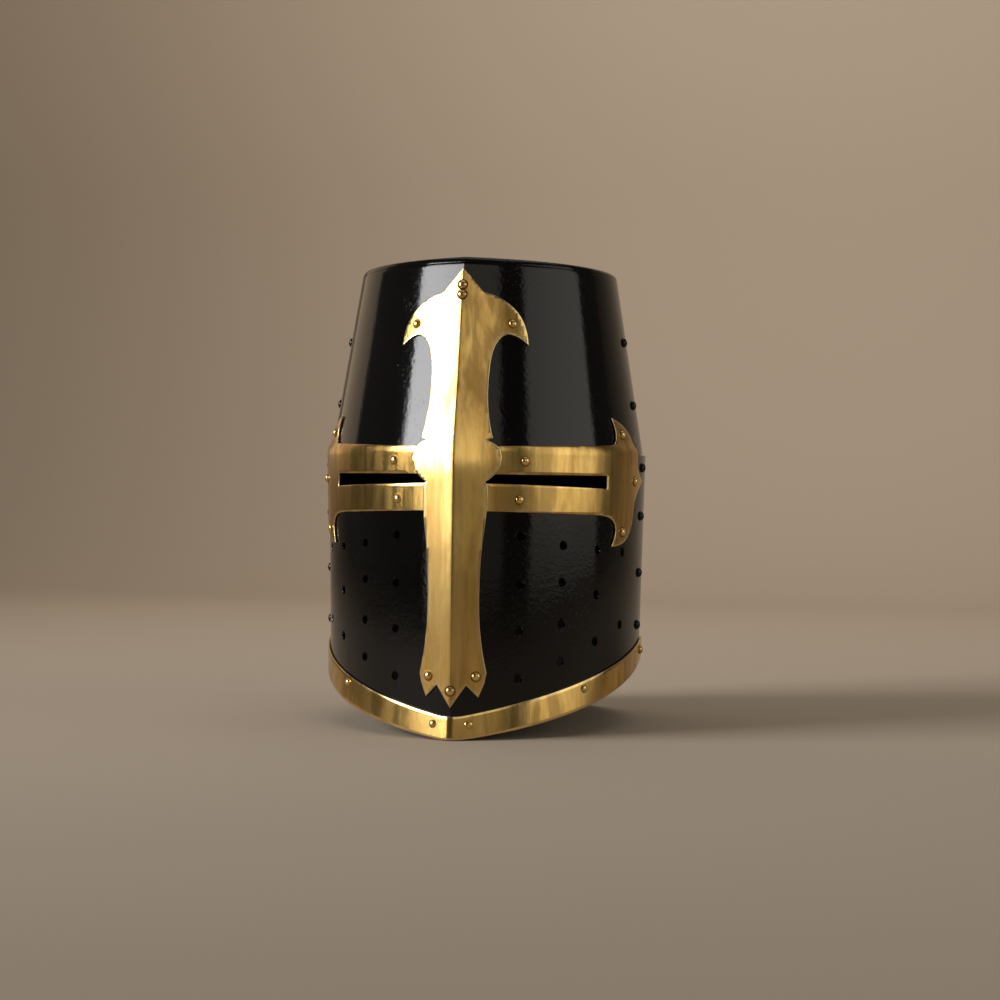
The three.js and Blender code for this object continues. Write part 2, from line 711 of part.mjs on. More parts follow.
// name, u, z, face under the head, face under the tail, pieces it goes through, head
const top = "cross_upright upper_front_plate crown_plate";
const rivets = [
  ["crown_rivet", 0, 299.6, OVER_UPPER, INNER[2] - RIDGE_ROOM, top, brassHead],
  ["cross_top_rivet", 0, 292.9, OVER_UPPER, INNER[2] - RIDGE_ROOM, top, brassHead],
  ["cross_foot_rivet", 0, 32.2, OVER_LOWER, INNER[0] - RIDGE_ROOM,
    "cross_upright lower_front_plate", brassHead],
];
const brow = "cross_arm lower_front_plate upper_front_plate liner";
const cheek = "cross_arm lower_front_plate";
const seam = "lower_front_plate lower_back_plate";
const upperSeam = "upper_front_plate upper_back_plate";
const pairs = [
  ["cross_horn_rivet", 0.2, 274.4, OVER_UPPER, INNER[1], "cross_upright upper_front_plate", brassHead],
  ["cross_toe_rivet", 0.082, 41.4, OVER_LOWER, INNER[0], "cross_upright lower_front_plate", brassHead],
  ["brow_rivet", 0.235, 182.5, OVER_LOWER, BAND_INNER, brow, brassHead],
  ["cheek_rivet", 0.218, 157, OVER_LOWER, INNER[0], cheek, brassHead],
  ["temple_upper_rivet", 0.71, 203.2, OVER_UPPER, BAND_INNER, "cross_arm upper_front_plate liner", brassHead],
  ["temple_middle_rivet", 0.787, 171, OVER_LOWER, INNER[0], cheek, brassHead],
  ["temple_lower_rivet", 0.691, 135.9, OVER_LOWER, INNER[0], cheek, brassHead],
  ["rim_front_rivet", 0.06, 10.2, OVER_LOWER, INNER[0], "rim_front lower_front_plate", brassHead],
  ["rim_cheek_rivet", 0.494, 30.7, OVER_LOWER, INNER[0], "rim_front lower_front_plate", brassHead],
  ["rim_side_rivet", 0.953, 52, OVER_LOWER, INNER[1], `rim_front ${seam}`, brassHead],
  ["rim_neck_rivet", 1.5, 14, OVER_UPPER, INNER[1], "rim_back lower_back_plate", brassHead],
  ["seam_rivet_1", 0.905, 270, -LAYER, INNER[2], upperSeam, blackHead],
  ["seam_rivet_2", 0.905, 225.4, -LAYER, INNER[2], upperSeam, blackHead],
  ["seam_rivet_3", 0.905, 181, 0, BAND_INNER, `${seam} upper_back_plate liner`, blackHead],
  ["strap_rivet", PIVOT_TURN, PIVOT_Z, 0, STRAP_INNER - 0.6, seam, blackHead],
  ["seam_rivet_4", 0.905, 107, 0, INNER[1], seam, blackHead],
  ["seam_rivet_5", 0.905, 70.2, 0, INNER[1], seam, blackHead],
  ["nape_rivet", 1.5, 182.5, -LAYER, BAND_INNER, "lower_back_plate upper_back_plate liner", blackHead],
];
for (const [name, u, ...rest] of pairs) {
  rivets.push([`${name}_left`, u, ...rest], [`${name}_right`, -u, ...rest]);
}
rivets.push(
  ["nape_rivet_middle", 2, 182.5, -LAYER, BAND_INNER, "lower_back_plate upper_back_plate liner", blackHead],
  ["rim_neck_rivet_middle", 2, 8.5, OVER_UPPER, INNER[1], "rim_back lower_back_plate", brassHead],
);

for (const [name, u, z, face, tail, through, [radius, height]] of rivets) {
  const outward = wallNormal(u, z);
  const root = wallPoint(u, z);
  const reach = (offset) => wallPoint(u, z, offset).sub(root).dot(outward);
  const geometry = rivet(radius, height, reach(face) - reach(tail) + 2 * STANDOFF);
  const mesh = new THREE.Mesh(geometry, radius === brassHead[0] ? brassRivet : blackPaint);
  mesh.name = name;
  mesh.position.copy(root).addScaledVector(outward, reach(face) + STANDOFF);
  mesh.quaternion.setFromUnitVectors(new THREE.Vector3(0, 0, 1), outward);
  helm.add(mesh);
  for (const piece of through.split(" ")) {
    if (piece === "cross_arm" && u < 0) continue; // the arms are one shape, used on both sides
    plates[piece] = plates[piece].subtract(drill(u, z, HOLE, 6));
  }
}

// ---------- assembly ----------

const steelNames = ["upper_front", "upper_back", "lower_front", "lower_back", "crown"];
for (const name of steelNames.map((part) => `${part}_plate`)) {
  addPiece(name, plates[name], blackPaint);
}
for (const name of ["cross_upright", "rim_front", "rim_back"]) addPiece(name, plates[name], brass);
addPiece("cross_arm_left", plates.cross_arm, brass);
addPiece("cross_arm_right", plates.cross_arm, brass).scale.x = -1;
addPiece("liner", plates.liner, brownLeather);
addPiece("liner_lace", plates.liner_lace, thong);
for (const name of ["chin_strap_short", "chin_strap_long", "strap_keeper"]) {
  addPiece(name, plates[name], brownLeather, chinStrap);
}
for (const name of ["buckle_frame", "buckle_prong"]) addPiece(name, plates[name], brass, chinStrap);

export default helm;
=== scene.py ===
import json
from math import cos, pi, radians, sin, sqrt, tan, tanh

import bmesh
import bpy
import numpy as np
from mathutils import Matrix, Vector, kdtree


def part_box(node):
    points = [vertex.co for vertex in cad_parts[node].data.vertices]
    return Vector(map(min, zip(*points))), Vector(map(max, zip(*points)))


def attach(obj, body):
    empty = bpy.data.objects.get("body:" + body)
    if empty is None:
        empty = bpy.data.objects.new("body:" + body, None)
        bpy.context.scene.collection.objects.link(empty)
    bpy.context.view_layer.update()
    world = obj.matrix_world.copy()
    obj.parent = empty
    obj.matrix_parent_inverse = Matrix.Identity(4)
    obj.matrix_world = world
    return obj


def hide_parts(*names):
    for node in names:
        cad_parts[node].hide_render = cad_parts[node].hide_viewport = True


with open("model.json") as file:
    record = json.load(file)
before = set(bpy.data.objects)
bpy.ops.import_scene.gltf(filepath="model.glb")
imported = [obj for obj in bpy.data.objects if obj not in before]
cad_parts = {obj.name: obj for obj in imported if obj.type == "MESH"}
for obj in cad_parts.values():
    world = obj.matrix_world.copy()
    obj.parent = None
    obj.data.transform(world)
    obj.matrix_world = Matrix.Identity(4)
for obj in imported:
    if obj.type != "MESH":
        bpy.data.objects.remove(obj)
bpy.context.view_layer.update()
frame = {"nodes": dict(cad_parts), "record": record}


# Camera, floor and lights. The helm stands on a pale paper sweep. A tall window with a dim sill
# stands in front to the left and wide dim panels stand round the rest. A soft ceiling hangs above
# and a wash lights the sweep behind.
EYE = Vector((0.2159, -1.3858, 0.1537))
LOOK = Vector((-0.1468, 0.9892, 0.0024))
ROLL = radians(0.75)

camera = bpy.data.objects.new("camera", bpy.data.cameras.new("camera"))
camera.data.lens = 70.06
camera.data.sensor_width = 36
camera.data.clip_start = 0.05
camera.matrix_world = (Matrix.Translation(EYE) @ LOOK.to_track_quat("-Z", "Y").to_matrix().to_4x4()
                       @ Matrix.Rotation(ROLL, 4, "Z"))
bpy.context.collection.objects.link(camera)
bpy.context.scene.camera = camera
bpy.context.scene.view_settings.view_transform = "Standard"

SWEEP_HALF, SWEEP_FRONT, SWEEP_BACK, SWEEP_ROUND, SWEEP_TALL = 4.0, -3.5, 1.7, 0.8, 2.4
sweep = bmesh.new()
profile = [(SWEEP_FRONT, 0), (SWEEP_BACK, 0)]
for angle in range(6, 91, 6):
    profile.append((SWEEP_BACK + SWEEP_ROUND * sin(radians(angle)), SWEEP_ROUND * (1 - cos(radians(angle)))))
profile += [(SWEEP_BACK + SWEEP_ROUND, SWEEP_TALL)]
paper = [sweep.verts.new((-SWEEP_HALF, y, z)) for y, z in profile]
paper = [sweep.edges.new(pair) for pair in zip(paper, paper[1:])]
unrolled = bmesh.ops.extrude_edge_only(sweep, edges=paper)["geom"]
far_edge = [g for g in unrolled if isinstance(g, bmesh.types.BMVert)]
bmesh.ops.translate(sweep, vec=(2 * SWEEP_HALF, 0, 0), verts=far_edge)
bmesh.ops.recalc_face_normals(sweep, faces=sweep.faces[:])
sweep_data = bpy.data.meshes.new("floor")
sweep.to_mesh(sweep_data)
sweep.free()
sweep_data.shade_smooth()
floor = bpy.data.objects.new("floor", sweep_data)
bpy.context.collection.objects.link(floor)
floor_paint = bpy.data.materials.new("floor_paint")
floor_paint.use_nodes = True
floor_shader = floor_paint.node_tree.nodes["Principled BSDF"]
floor_shader.inputs["Base Color"].default_value = (0.52, 0.43, 0.34, 1)
floor_shader.inputs["Roughness"].default_value = 0.8
floor_shader.inputs["Specular IOR Level"].default_value = 0.1
floor.data.materials.append(floor_paint)

world = bpy.data.worlds.new("studio")
world.use_nodes = True
world.node_tree.nodes["Background"].inputs["Color"].default_value = (1.0, 0.94, 0.86, 1)
world.node_tree.nodes["Background"].inputs["Strength"].default_value = 0.06
bpy.context.scene.world = world


PANEL_AWAY = 2.4


def panel(name, turn, width, low, high, glow, colour, beam=110):
    """An upright light with a grid in front. turn and width are degrees round the helm from straight
    ahead, to the right; low and high are its edges' heights in degrees, glow is its radiance and
    beam the angle that the grid lets through."""
    lamp = bpy.data.lights.new(name, "AREA")
    lamp.shape = "RECTANGLE"
    lamp.size = 2 * PANEL_AWAY * tan(radians(width / 2))
    lamp.size_y = PANEL_AWAY * (tan(radians(high)) - tan(radians(low)))
    lamp.energy = glow * pi * lamp.size * lamp.size_y
    lamp.spread = radians(beam)
    lamp.color = colour
    stand = bpy.data.objects.new(name, lamp)
    middle = 0.15 + PANEL_AWAY * (tan(radians(high)) + tan(radians(low))) / 2
    out = Vector((sin(radians(turn)), -cos(radians(turn)), 0))
    stand.matrix_world = (Matrix.Translation(out * PANEL_AWAY + Vector((0, 0, middle)))
                          @ (-out).to_track_quat("-Z", "Y").to_matrix().to_4x4())
    stand.visible_camera = False
    bpy.context.collection.objects.link(stand)


panel("window", -62.5, 28, 7.0, 36, 4.9, (1.0, 1.0, 1.0), beam=90)
panel("window_sill", -52, 18, -3, 7.0, 0.62, (1.0, 0.98, 0.94))
panel("side_panel", 83, 40, 3, 38, 0.48, (1.0, 0.98, 0.88))
panel("side_foot", 83, 40, 0, 3, 0.33, (1.0, 0.95, 0.84))
panel("side_skirting", 83, 40, -3, 0, 0.20, (1.0, 0.90, 0.76))
panel("front_fill", 37, 26, 9, 38, 0.32, (1.0, 0.92, 0.78))
panel("front_foot", 37, 26, -3, 9, 0.08, (1.0, 0.90, 0.72))
panel("left_wall", -129, 32, 2, 38, 0.22, (1.0, 0.76, 0.52))

WASH_PLACE, WASH_BACKWARD = Vector((0, 0.9, 1.9)), Vector((0, -0.85, 0.5))
wash = bpy.data.lights.new("backdrop_wash", "AREA")
wash.shape, wash.size, wash.size_y = "RECTANGLE", 3.0, 0.5
wash.energy = 16
wash.color = (1.0, 0.90, 0.78)
wash_stand = bpy.data.objects.new("backdrop_wash", wash)
wash_stand.matrix_world = (Matrix.Translation(WASH_PLACE)
                           @ WASH_BACKWARD.to_track_quat("Z", "Y").to_matrix().to_4x4())
wash_stand.visible_camera = False
wash_stand.visible_glossy = False
bpy.context.collection.objects.link(wash_stand)

ceiling = bpy.data.lights.new("ceiling", "AREA")
ceiling.shape, ceiling.size, ceiling.size_y = "RECTANGLE", 2.6, 2.2
ceiling.energy = 0.6 * pi * ceiling.size * ceiling.size_y
ceiling.color = (1.0, 0.96, 0.90)
hung = bpy.data.objects.new("ceiling", ceiling)
hung.matrix_world = Matrix.Translation((0, 0.5, 2.5))
bpy.context.collection.objects.link(hung)


# Steel plates. The helm's wall is 1.6 mm sheet: two lower plates, two upper ones tucked inside
# them, and a crown. The front plates lap over the back ones at the sides, and all are riveted,
# hammered smooth and enamelled black. The plan of the wall is a keeled face and a round back.
STEEL, LAYER, GAP, BRASS = 0.0016, 0.0019, 0.0003, 0.0012
LEVELS = (0.0, 0.190, 0.318)
HALF_WIDTH = (0.1099, 0.1141, 0.0934)
FRONT_REACH = (0.1476, 0.1446, 0.1166)
BACK_RATIO = 1.18
KEEL = radians(20.5)
FULLNESS = 0.84
WIDEST_Y = 0.0079
BROW, TUCK, WALL_TOP, CROWN = 0.190, 0.176, 0.315, 0.318
SEAM_START = 12 / 14
SIDE_ARCH, TIP_FLAT, NECK_FLAT_Y = 0.0465, 0.0008, 0.120


def wall(turn, z, lift=0.0):
    """A point of the wall. turn is 0 at the ridge, 1 at the side and 2 at the middle of the back."""
    side, v = (-1 if turn < 0 else 1), abs(turn)
    half = float(np.interp(z, LEVELS, HALF_WIDTH))
    if v > 1:
        angle = (v - 1) * pi / 2
        back = (BACK_RATIO * half + lift) * sin(angle)
        return Vector((side * (half + lift) * cos(angle), back + WIDEST_Y, z))
    half += lift
    front = float(np.interp(z, LEVELS, FRONT_REACH)) + lift / cos(KEEL)
    start, pull, end = (1 - v) ** 2, 2 * FULLNESS * v * (1 - v), v * v
    total = start + pull + end
    x = half * (pull + end) / total
    y = (-front * start + (half * tan(KEEL) - front) * pull) / total
    return Vector((side * x, y + WIDEST_Y, z))


def wall_facing(turn, z):
    """The wall's outward direction."""
    step = 1e-4
    along = Vector((1, 0, 0)) if abs(turn) < step else wall(turn + step, z) - wall(turn - step, z)
    return along.cross(wall(turn, z + step) - wall(turn, z - step)).normalized()


def turn_at_x(x, z):
    """The turn at which the face is x from the middle."""
    share = min(abs(x) / float(np.interp(z, LEVELS, HALF_WIDTH)), 0.9999)
    s = -FULLNESS + sqrt(FULLNESS ** 2 + share / (1 - share))
    return s / (1 + s) * (-1 if x < 0 else 1)


def turn_at_y(y, z):
    """The turn at which the face is y ahead of the widest line."""
    half = float(np.interp(z, LEVELS, HALF_WIDTH))
    front = float(np.interp(z, LEVELS, FRONT_REACH))
    a, b, c = y, 2 * FULLNESS * (y - half * tan(KEEL) + front), y + front
    s = (-b - sqrt(max(b * b - 4 * a * c, 0))) / (2 * a)
    return s / (1 + s)


def foot(turn):
    """Height of the lower edge: straight from the face's point, over the shoulder, down to the neck."""
    y = wall(turn, 0).y - WIDEST_Y
    slope = SIDE_ARCH / FRONT_REACH[0]
    if y < 0:
        return max(0, SIDE_ARCH + slope * y - TIP_FLAT)
    s = min(1, y / NECK_FLAT_Y)
    fall, start = 2 * s ** 3 - 3 * s * s + 1, s ** 3 - 2 * s * s + s
    return (SIDE_ARCH - TIP_FLAT) * fall + slope * NECK_FLAT_Y * start


def rounded_sheet(length, height, thick, columns, rows, edge):
    """A flat blank on its back, with its edges rounded. Its outer face is at zero."""
    blank = bmesh.new()
    bmesh.ops.create_grid(blank, x_segments=columns, y_segments=rows, size=0.5)
    bmesh.ops.scale(blank, vec=(length, height, 1), verts=blank.verts)
    skin = bmesh.ops.extrude_face_region(blank, geom=blank.faces[:])["geom"]
    inner = [g for g in skin if isinstance(g, bmesh.types.BMVert)]
    bmesh.ops.translate(blank, vec=(0, 0, -thick), verts=inner)
    bmesh.ops.recalc_face_normals(blank, faces=blank.faces[:])
    corners = [e for e in blank.edges if e.calc_face_angle(0) > 0.8]
    bmesh.ops.bevel(blank, geom=corners, offset=edge, offset_type="OFFSET", segments=2, profile=0.5,
                    affect="EDGES", material=-1, clamp_overlap=True)
    return blank


def make_piece(name, blank, finishes, body, slot, *nodes, crease=35):
    """Turns a blank into a finished piece that rides on a body and stands for CAD nodes."""
    data = bpy.data.meshes.new(name)
    blank.to_mesh(data)
    blank.free()
    piece = bpy.data.objects.new(name, data)
    bpy.context.collection.objects.link(piece)
    for finish in finishes:
        data.materials.append(finish)
    data.shade_smooth()
    data.set_sharp_from_angle(angle=radians(crease))
    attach(piece, body)
    if nodes:
        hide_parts(*nodes)
    return piece


def bare_finish(name):
    """A new material, with its shader and a quick way to add and join its nodes."""
    finish = bpy.data.materials.new(name)
    finish.use_nodes = True
    tree = finish.node_tree

    def add(kind, settings={}, **inputs):
        made = tree.nodes.new(kind)
        for key, value in settings.items():
            setattr(made, key, value)
        for key, value in inputs.items():
            numbered = key[0] == "i" and key[1:].isdigit()
            socket = made.inputs[int(key[1:]) if numbered else key.replace("_", " ")]
            if isinstance(value, bpy.types.NodeSocket):
                tree.links.new(value, socket)
            else:
                socket.default_value = value
        return made

    return finish, tree.nodes["Principled BSDF"], tree.links.new, add


def scaled(add, value, factor, plus=0.0, clamp=False):
    """value * factor + plus."""
    settings = {"operation": "MULTIPLY_ADD", "use_clamp": clamp}
    return add("ShaderNodeMath", settings, i0=value, i1=factor, i2=plus).outputs[0]


def ramp(add, value, stops):
    """A colour or grey ramp. stops are (place, colour or grey) pairs."""
    made = add("ShaderNodeValToRGB", i0=value)
    band = made.color_ramp
    while len(band.elements) < len(stops):
        band.elements.new(0.5)
    for element, (place, colour) in zip(band.elements, stops):
        element.position = place
        element.color = (*colour, 1) if hasattr(colour, "__len__") else (colour, colour, colour, 1)
    return made.outputs[0]


# Black enamel: gloss over hand-hammered steel. It has a faint orange peel, low hammer waves that
# break up its reflections, grit under the paint and hairline rubs.
def enamel(name, inside=False):
    finish, shader, join, add = bare_finish(name)
    place = add("ShaderNodeTexCoord").outputs["Object"]
    peel = add("ShaderNodeTexNoise", Vector=place, Scale=330.0, Detail=3.0, Roughness=0.55, Distortion=0.3)
    waves = add("ShaderNodeTexNoise", Vector=place, Scale=30.0, Detail=1.5, Roughness=0.4)
    grit = add("ShaderNodeTexVoronoi", Vector=place, Scale=420.0, Randomness=1.0)
    specks = ramp(add, grit.outputs["Distance"], [(0.0, 1.0), (0.10, 1.0), (0.2, 0.0)])
    patches = add("ShaderNodeTexNoise", Vector=place, Scale=21.0, Detail=5.0, Roughness=0.62)
    gritty = scaled(add, specks, ramp(add, patches.outputs["Fac"], [(0.48, 0.0), (0.62, 1.0)]))
    stretch = add("ShaderNodeMapping", i0=place, Scale=(60, 60, 900), Rotation=(0.35, 0.2, 0.1))
    hair = add("ShaderNodeTexNoise", Vector=stretch.outputs[0], Scale=1.0, Detail=3.0, Roughness=0.6)
    rubs = ramp(add, hair.outputs["Fac"], [(0.68, 0.0), (0.74, 1.0)])
    if inside:
        tones = [(0.3, (0.014, 0.013, 0.012)), (0.7, (0.030, 0.027, 0.024))]
        gloss = ramp(add, patches.outputs["Fac"], [(0.3, 0.38), (0.7, 0.55)])
    else:
        tones = [(0.3, (0.0016, 0.0016, 0.0016)), (0.75, (0.0034, 0.0032, 0.0029))]
        gloss = ramp(add, patches.outputs["Fac"], [(0.35, 0.055), (0.75, 0.095)])
    join(ramp(add, patches.outputs["Fac"], tones), shader.inputs["Base Color"])
    shader.inputs["Specular IOR Level"].default_value = 0.36
    join(scaled(add, rubs, 0.10, gloss), shader.inputs["Roughness"])
    height = scaled(add, waves.outputs["Fac"], 2.2, peel.outputs["Fac"])
    height = scaled(add, gritty, 1.1, height)
    bump = add("ShaderNodeBump", Strength=0.6 if inside else 0.28, Distance=0.00020, Height=height)
    join(bump.outputs[0], shader.inputs["Normal"])
    return finish


black_enamel = enamel("black_enamel")
black_inside = enamel("black_enamel_inside", inside=True)
PLATE_FINISH = [black_enamel, black_inside]


def make_plate(name, node, length, height, grid, edge, turn_of, foot_of, top, lift):
    """Cuts a blank, bends it round the wall and gives its inner face the inside finish."""
    blank = rounded_sheet(length, height, STEEL, *grid, edge)
    for face in blank.faces:
        face.material_index = 1 if face.normal.z < -0.9 else 0
    for v in blank.verts:
        share = v.co.y / height + 0.5
        turn = turn_of(v.co.x / length + 0.5)
        low = foot_of(turn)
        v.co = wall(turn, low + (top - low) * share, lift + v.co.z)
    return make_piece(name, blank, PLATE_FINISH, "shell", "black_steel", node)


def face_turn(share):
    return 2 * share - 1


def back_turn(share):
    around = SEAM_START + (4 - 2 * SEAM_START) * share
    return around if around <= 2 else around - 4


def brow_foot(turn):
    """The upper front plate's lower edge, cut shorter behind the side seams."""
    return TUCK + (SEAM_NOTCH if abs(turn) > SEAM_START else 0)


LOWER_TALL, UPPER_TALL, SEAM_NOTCH = 0.175, 0.139, 0.0148
UPPER_TOP = WALL_TOP + 0.0002
lower_front_piece = make_plate("face_plate", "lower_front_plate", 0.294, LOWER_TALL, (148, 90), 0.0004,
                               face_turn, foot, BROW, 0.0)
make_plate("neck_plate", "lower_back_plate", 0.40, LOWER_TALL, (150, 60), 0.0003,
           back_turn, foot, BROW, -LAYER)
make_plate("brow_plate", "upper_front_plate", 0.27, UPPER_TALL, (140, 66), 0.0003,
           face_turn, brow_foot, UPPER_TOP, -LAYER)
make_plate("skull_plate", "upper_back_plate", 0.38, UPPER_TALL, (140, 60), 0.0003,
           back_turn, lambda turn: TUCK, UPPER_TOP, -2 * LAYER)


# Breath holes and sights. The holes are drilled in the face plate, 6 mm wide, and their mouths
# broken with a countersink. Each sight is a sawn slot that its brass arm frames.
BREATH_RADIUS, COUNTERSINK = 0.0030, 0.00035
BREATH_COLUMNS = ((0.231, (0.133, 0.101, 0.071, 0.0395)), (0.392, (0.127, 0.1025, 0.075, 0.050)),
                  (0.553, (0.124, 0.0935, 0.062)), (0.71, (0.122, 0.072)))
SIGHT_X = (0.012, 0.0935)
SIGHT_HEIGHTS = (0.1676, 0.1654, 0.1742, 0.1734)


def facing(place, outward):
    """A matrix that stands a piece made along +Z at a place, along a direction."""
    return Matrix.Translation(place) @ outward.to_track_quat("Z", "Y").to_matrix().to_4x4()


def turned_piece(blank, profile, steps):
    """Spins a profile of (radius, height) pairs about Z. Its ends lie on the axis."""
    points = [blank.verts.new((r, 0, h)) for r, h in profile]
    edges = [blank.edges.new(pair) for pair in zip(points, points[1:])]
    bmesh.ops.spin(blank, geom=points + edges, cent=(0, 0, 0), axis=(0, 0, 1), angle=2 * pi,
                   steps=steps, use_merge=True)
    bmesh.ops.remove_doubles(blank, verts=blank.verts[:], dist=1e-6)
    bmesh.ops.recalc_face_normals(blank, faces=blank.faces[:])


drills = bmesh.new()
turned_piece(drills, [(0, -0.006), (BREATH_RADIUS, -0.006), (BREATH_RADIUS, -COUNTERSINK),
                      (BREATH_RADIUS + COUNTERSINK + 0.001, 0.001), (0, 0.001)], 28)
drill_bit = drills.verts[:] + drills.edges[:] + drills.faces[:]
for turn, heights in BREATH_COLUMNS:
    for z in heights:
        for side in (-1, 1):
            copy = bmesh.ops.duplicate(drills, geom=drill_bit)["geom"]
            bmesh.ops.transform(drills, matrix=facing(wall(side * turn, z), wall_facing(side * turn, z)),
                                verts=[g for g in copy if isinstance(g, bmesh.types.BMVert)])
bmesh.ops.delete(drills, geom=[g for g in drill_bit if isinstance(g, bmesh.types.BMVert)], context="VERTS")
for side in (-1, 1):
    inner, outer = SIGHT_X
    corners = zip((inner, outer, outer, inner), SIGHT_HEIGHTS)
    saw = drills.faces.new([drills.verts.new((side * x, -0.2, z)) for x, z in corners])
    swept = bmesh.ops.extrude_face_region(drills, geom=[saw])["geom"]
    far_side = [g for g in swept if isinstance(g, bmesh.types.BMVert)]
    bmesh.ops.translate(drills, vec=(0, 0.15, 0), verts=far_side)
bmesh.ops.recalc_face_normals(drills, faces=drills.faces[:])


def cut(piece, tool, crease=35):
    """Cuts a tool's shape out of a piece for good."""
    data = bpy.data.meshes.new("tool")
    tool.to_mesh(data)
    tool.free()
    cutter = bpy.data.objects.new("tool", data)
    bpy.context.collection.objects.link(cutter)
    saw = piece.modifiers.new("cut", "BOOLEAN")
    saw.operation, saw.solver, saw.object = "DIFFERENCE", "EXACT", cutter
    graph = bpy.context.evaluated_depsgraph_get()
    settled = bpy.data.meshes.new_from_object(piece.evaluated_get(graph))
    piece.modifiers.clear()
    piece.data = settled
    settled.name = piece.name
    settled.set_sharp_from_angle(angle=radians(crease))
    bpy.data.objects.remove(cutter)


cut(lower_front_piece, drills)


# The crown: a low dome of the same steel with a flange turned down inside the wall, welded round
# its edge and ground flush before painting.
CROWN_MIDDLE = Vector((0, WIDEST_Y - 0.008, 0))
FLANGE_FOOT = 0.287
ring = [face_turn(i / 150) for i in range(151)]
ring += [turn for turn in (back_turn(i / 150) for i in range(151)) if abs(turn) > 1.001]
ring = [turn if turn <= 2 else turn - 4 for turn in sorted(set(round(turn % 4, 5) for turn in ring))]


def crown_loop(drawn_in, z, share=1.0, flange=False):
    """One level line of the crown, drawn in from the wall and shrunk towards the middle."""
    line = []
    for turn in ring:
        lift = -LAYER if abs(turn) < 1.0001 else -2 * LAYER
        if flange:
            lift = -2 * LAYER if abs(turn) < SEAM_START else -3 * LAYER
        point = wall(turn, min(z, CROWN), lift - drawn_in)
        point = CROWN_MIDDLE + (point - CROWN_MIDDLE) * share
        point.z = z
        line.append(point)
    return line


ROUND_EDGE = ((0.0001, -0.0014), (0.0003, -0.0007), (0.0008, 0.0001), (0.0016, 0.0007), (0.0028, 0.0011))
DOME_INSET, DOME_FOOT, DOME_RISE = 0.0016, CROWN + 0.0010, 0.0049
crown_lines = [crown_loop(0, FLANGE_FOOT, 1, True), crown_loop(0, WALL_TOP + 0.0003, 1, True)]
crown_lines += [crown_loop(0, WALL_TOP + 0.0003)]
crown_lines += [crown_loop(inset, CROWN + rise) for inset, rise in ROUND_EDGE]
for share in (0.95, 0.88, 0.76, 0.62, 0.46, 0.3, 0.14):
    crown_lines.append(crown_loop(DOME_INSET, DOME_FOOT + DOME_RISE * (1 - share ** 2), share))
top_loop = len(crown_lines) - 1
for share in (0.14, 0.46, 0.76, 0.95):
    crown_lines.append(crown_loop(DOME_INSET, DOME_FOOT - STEEL + DOME_RISE * (1 - share ** 2), share))
crown_lines += [crown_loop(STEEL, CROWN - 0.0016, 1, True), crown_loop(STEEL, FLANGE_FOOT, 1, True)]


def closed_line(blank, points):
    """A closed loop of edges through points."""
    verts = [blank.verts.new(point) for point in points]
    return [blank.edges.new((verts[i - 1], verts[i])) for i in range(len(verts))]


crown = bmesh.new()
loops = [closed_line(crown, line) for line in crown_lines]
for i in range(len(loops)):
    if i != top_loop + 1:
        bmesh.ops.bridge_loops(crown, edges=loops[i - 1] + loops[i])
for loop in loops[top_loop:top_loop + 2]:
    bmesh.ops.edgeloop_fill(crown, edges=loop)
bmesh.ops.recalc_face_normals(crown, faces=crown.faces[:])
make_piece("crown", crown, [black_enamel], "shell", "black_steel", "crown_plate")


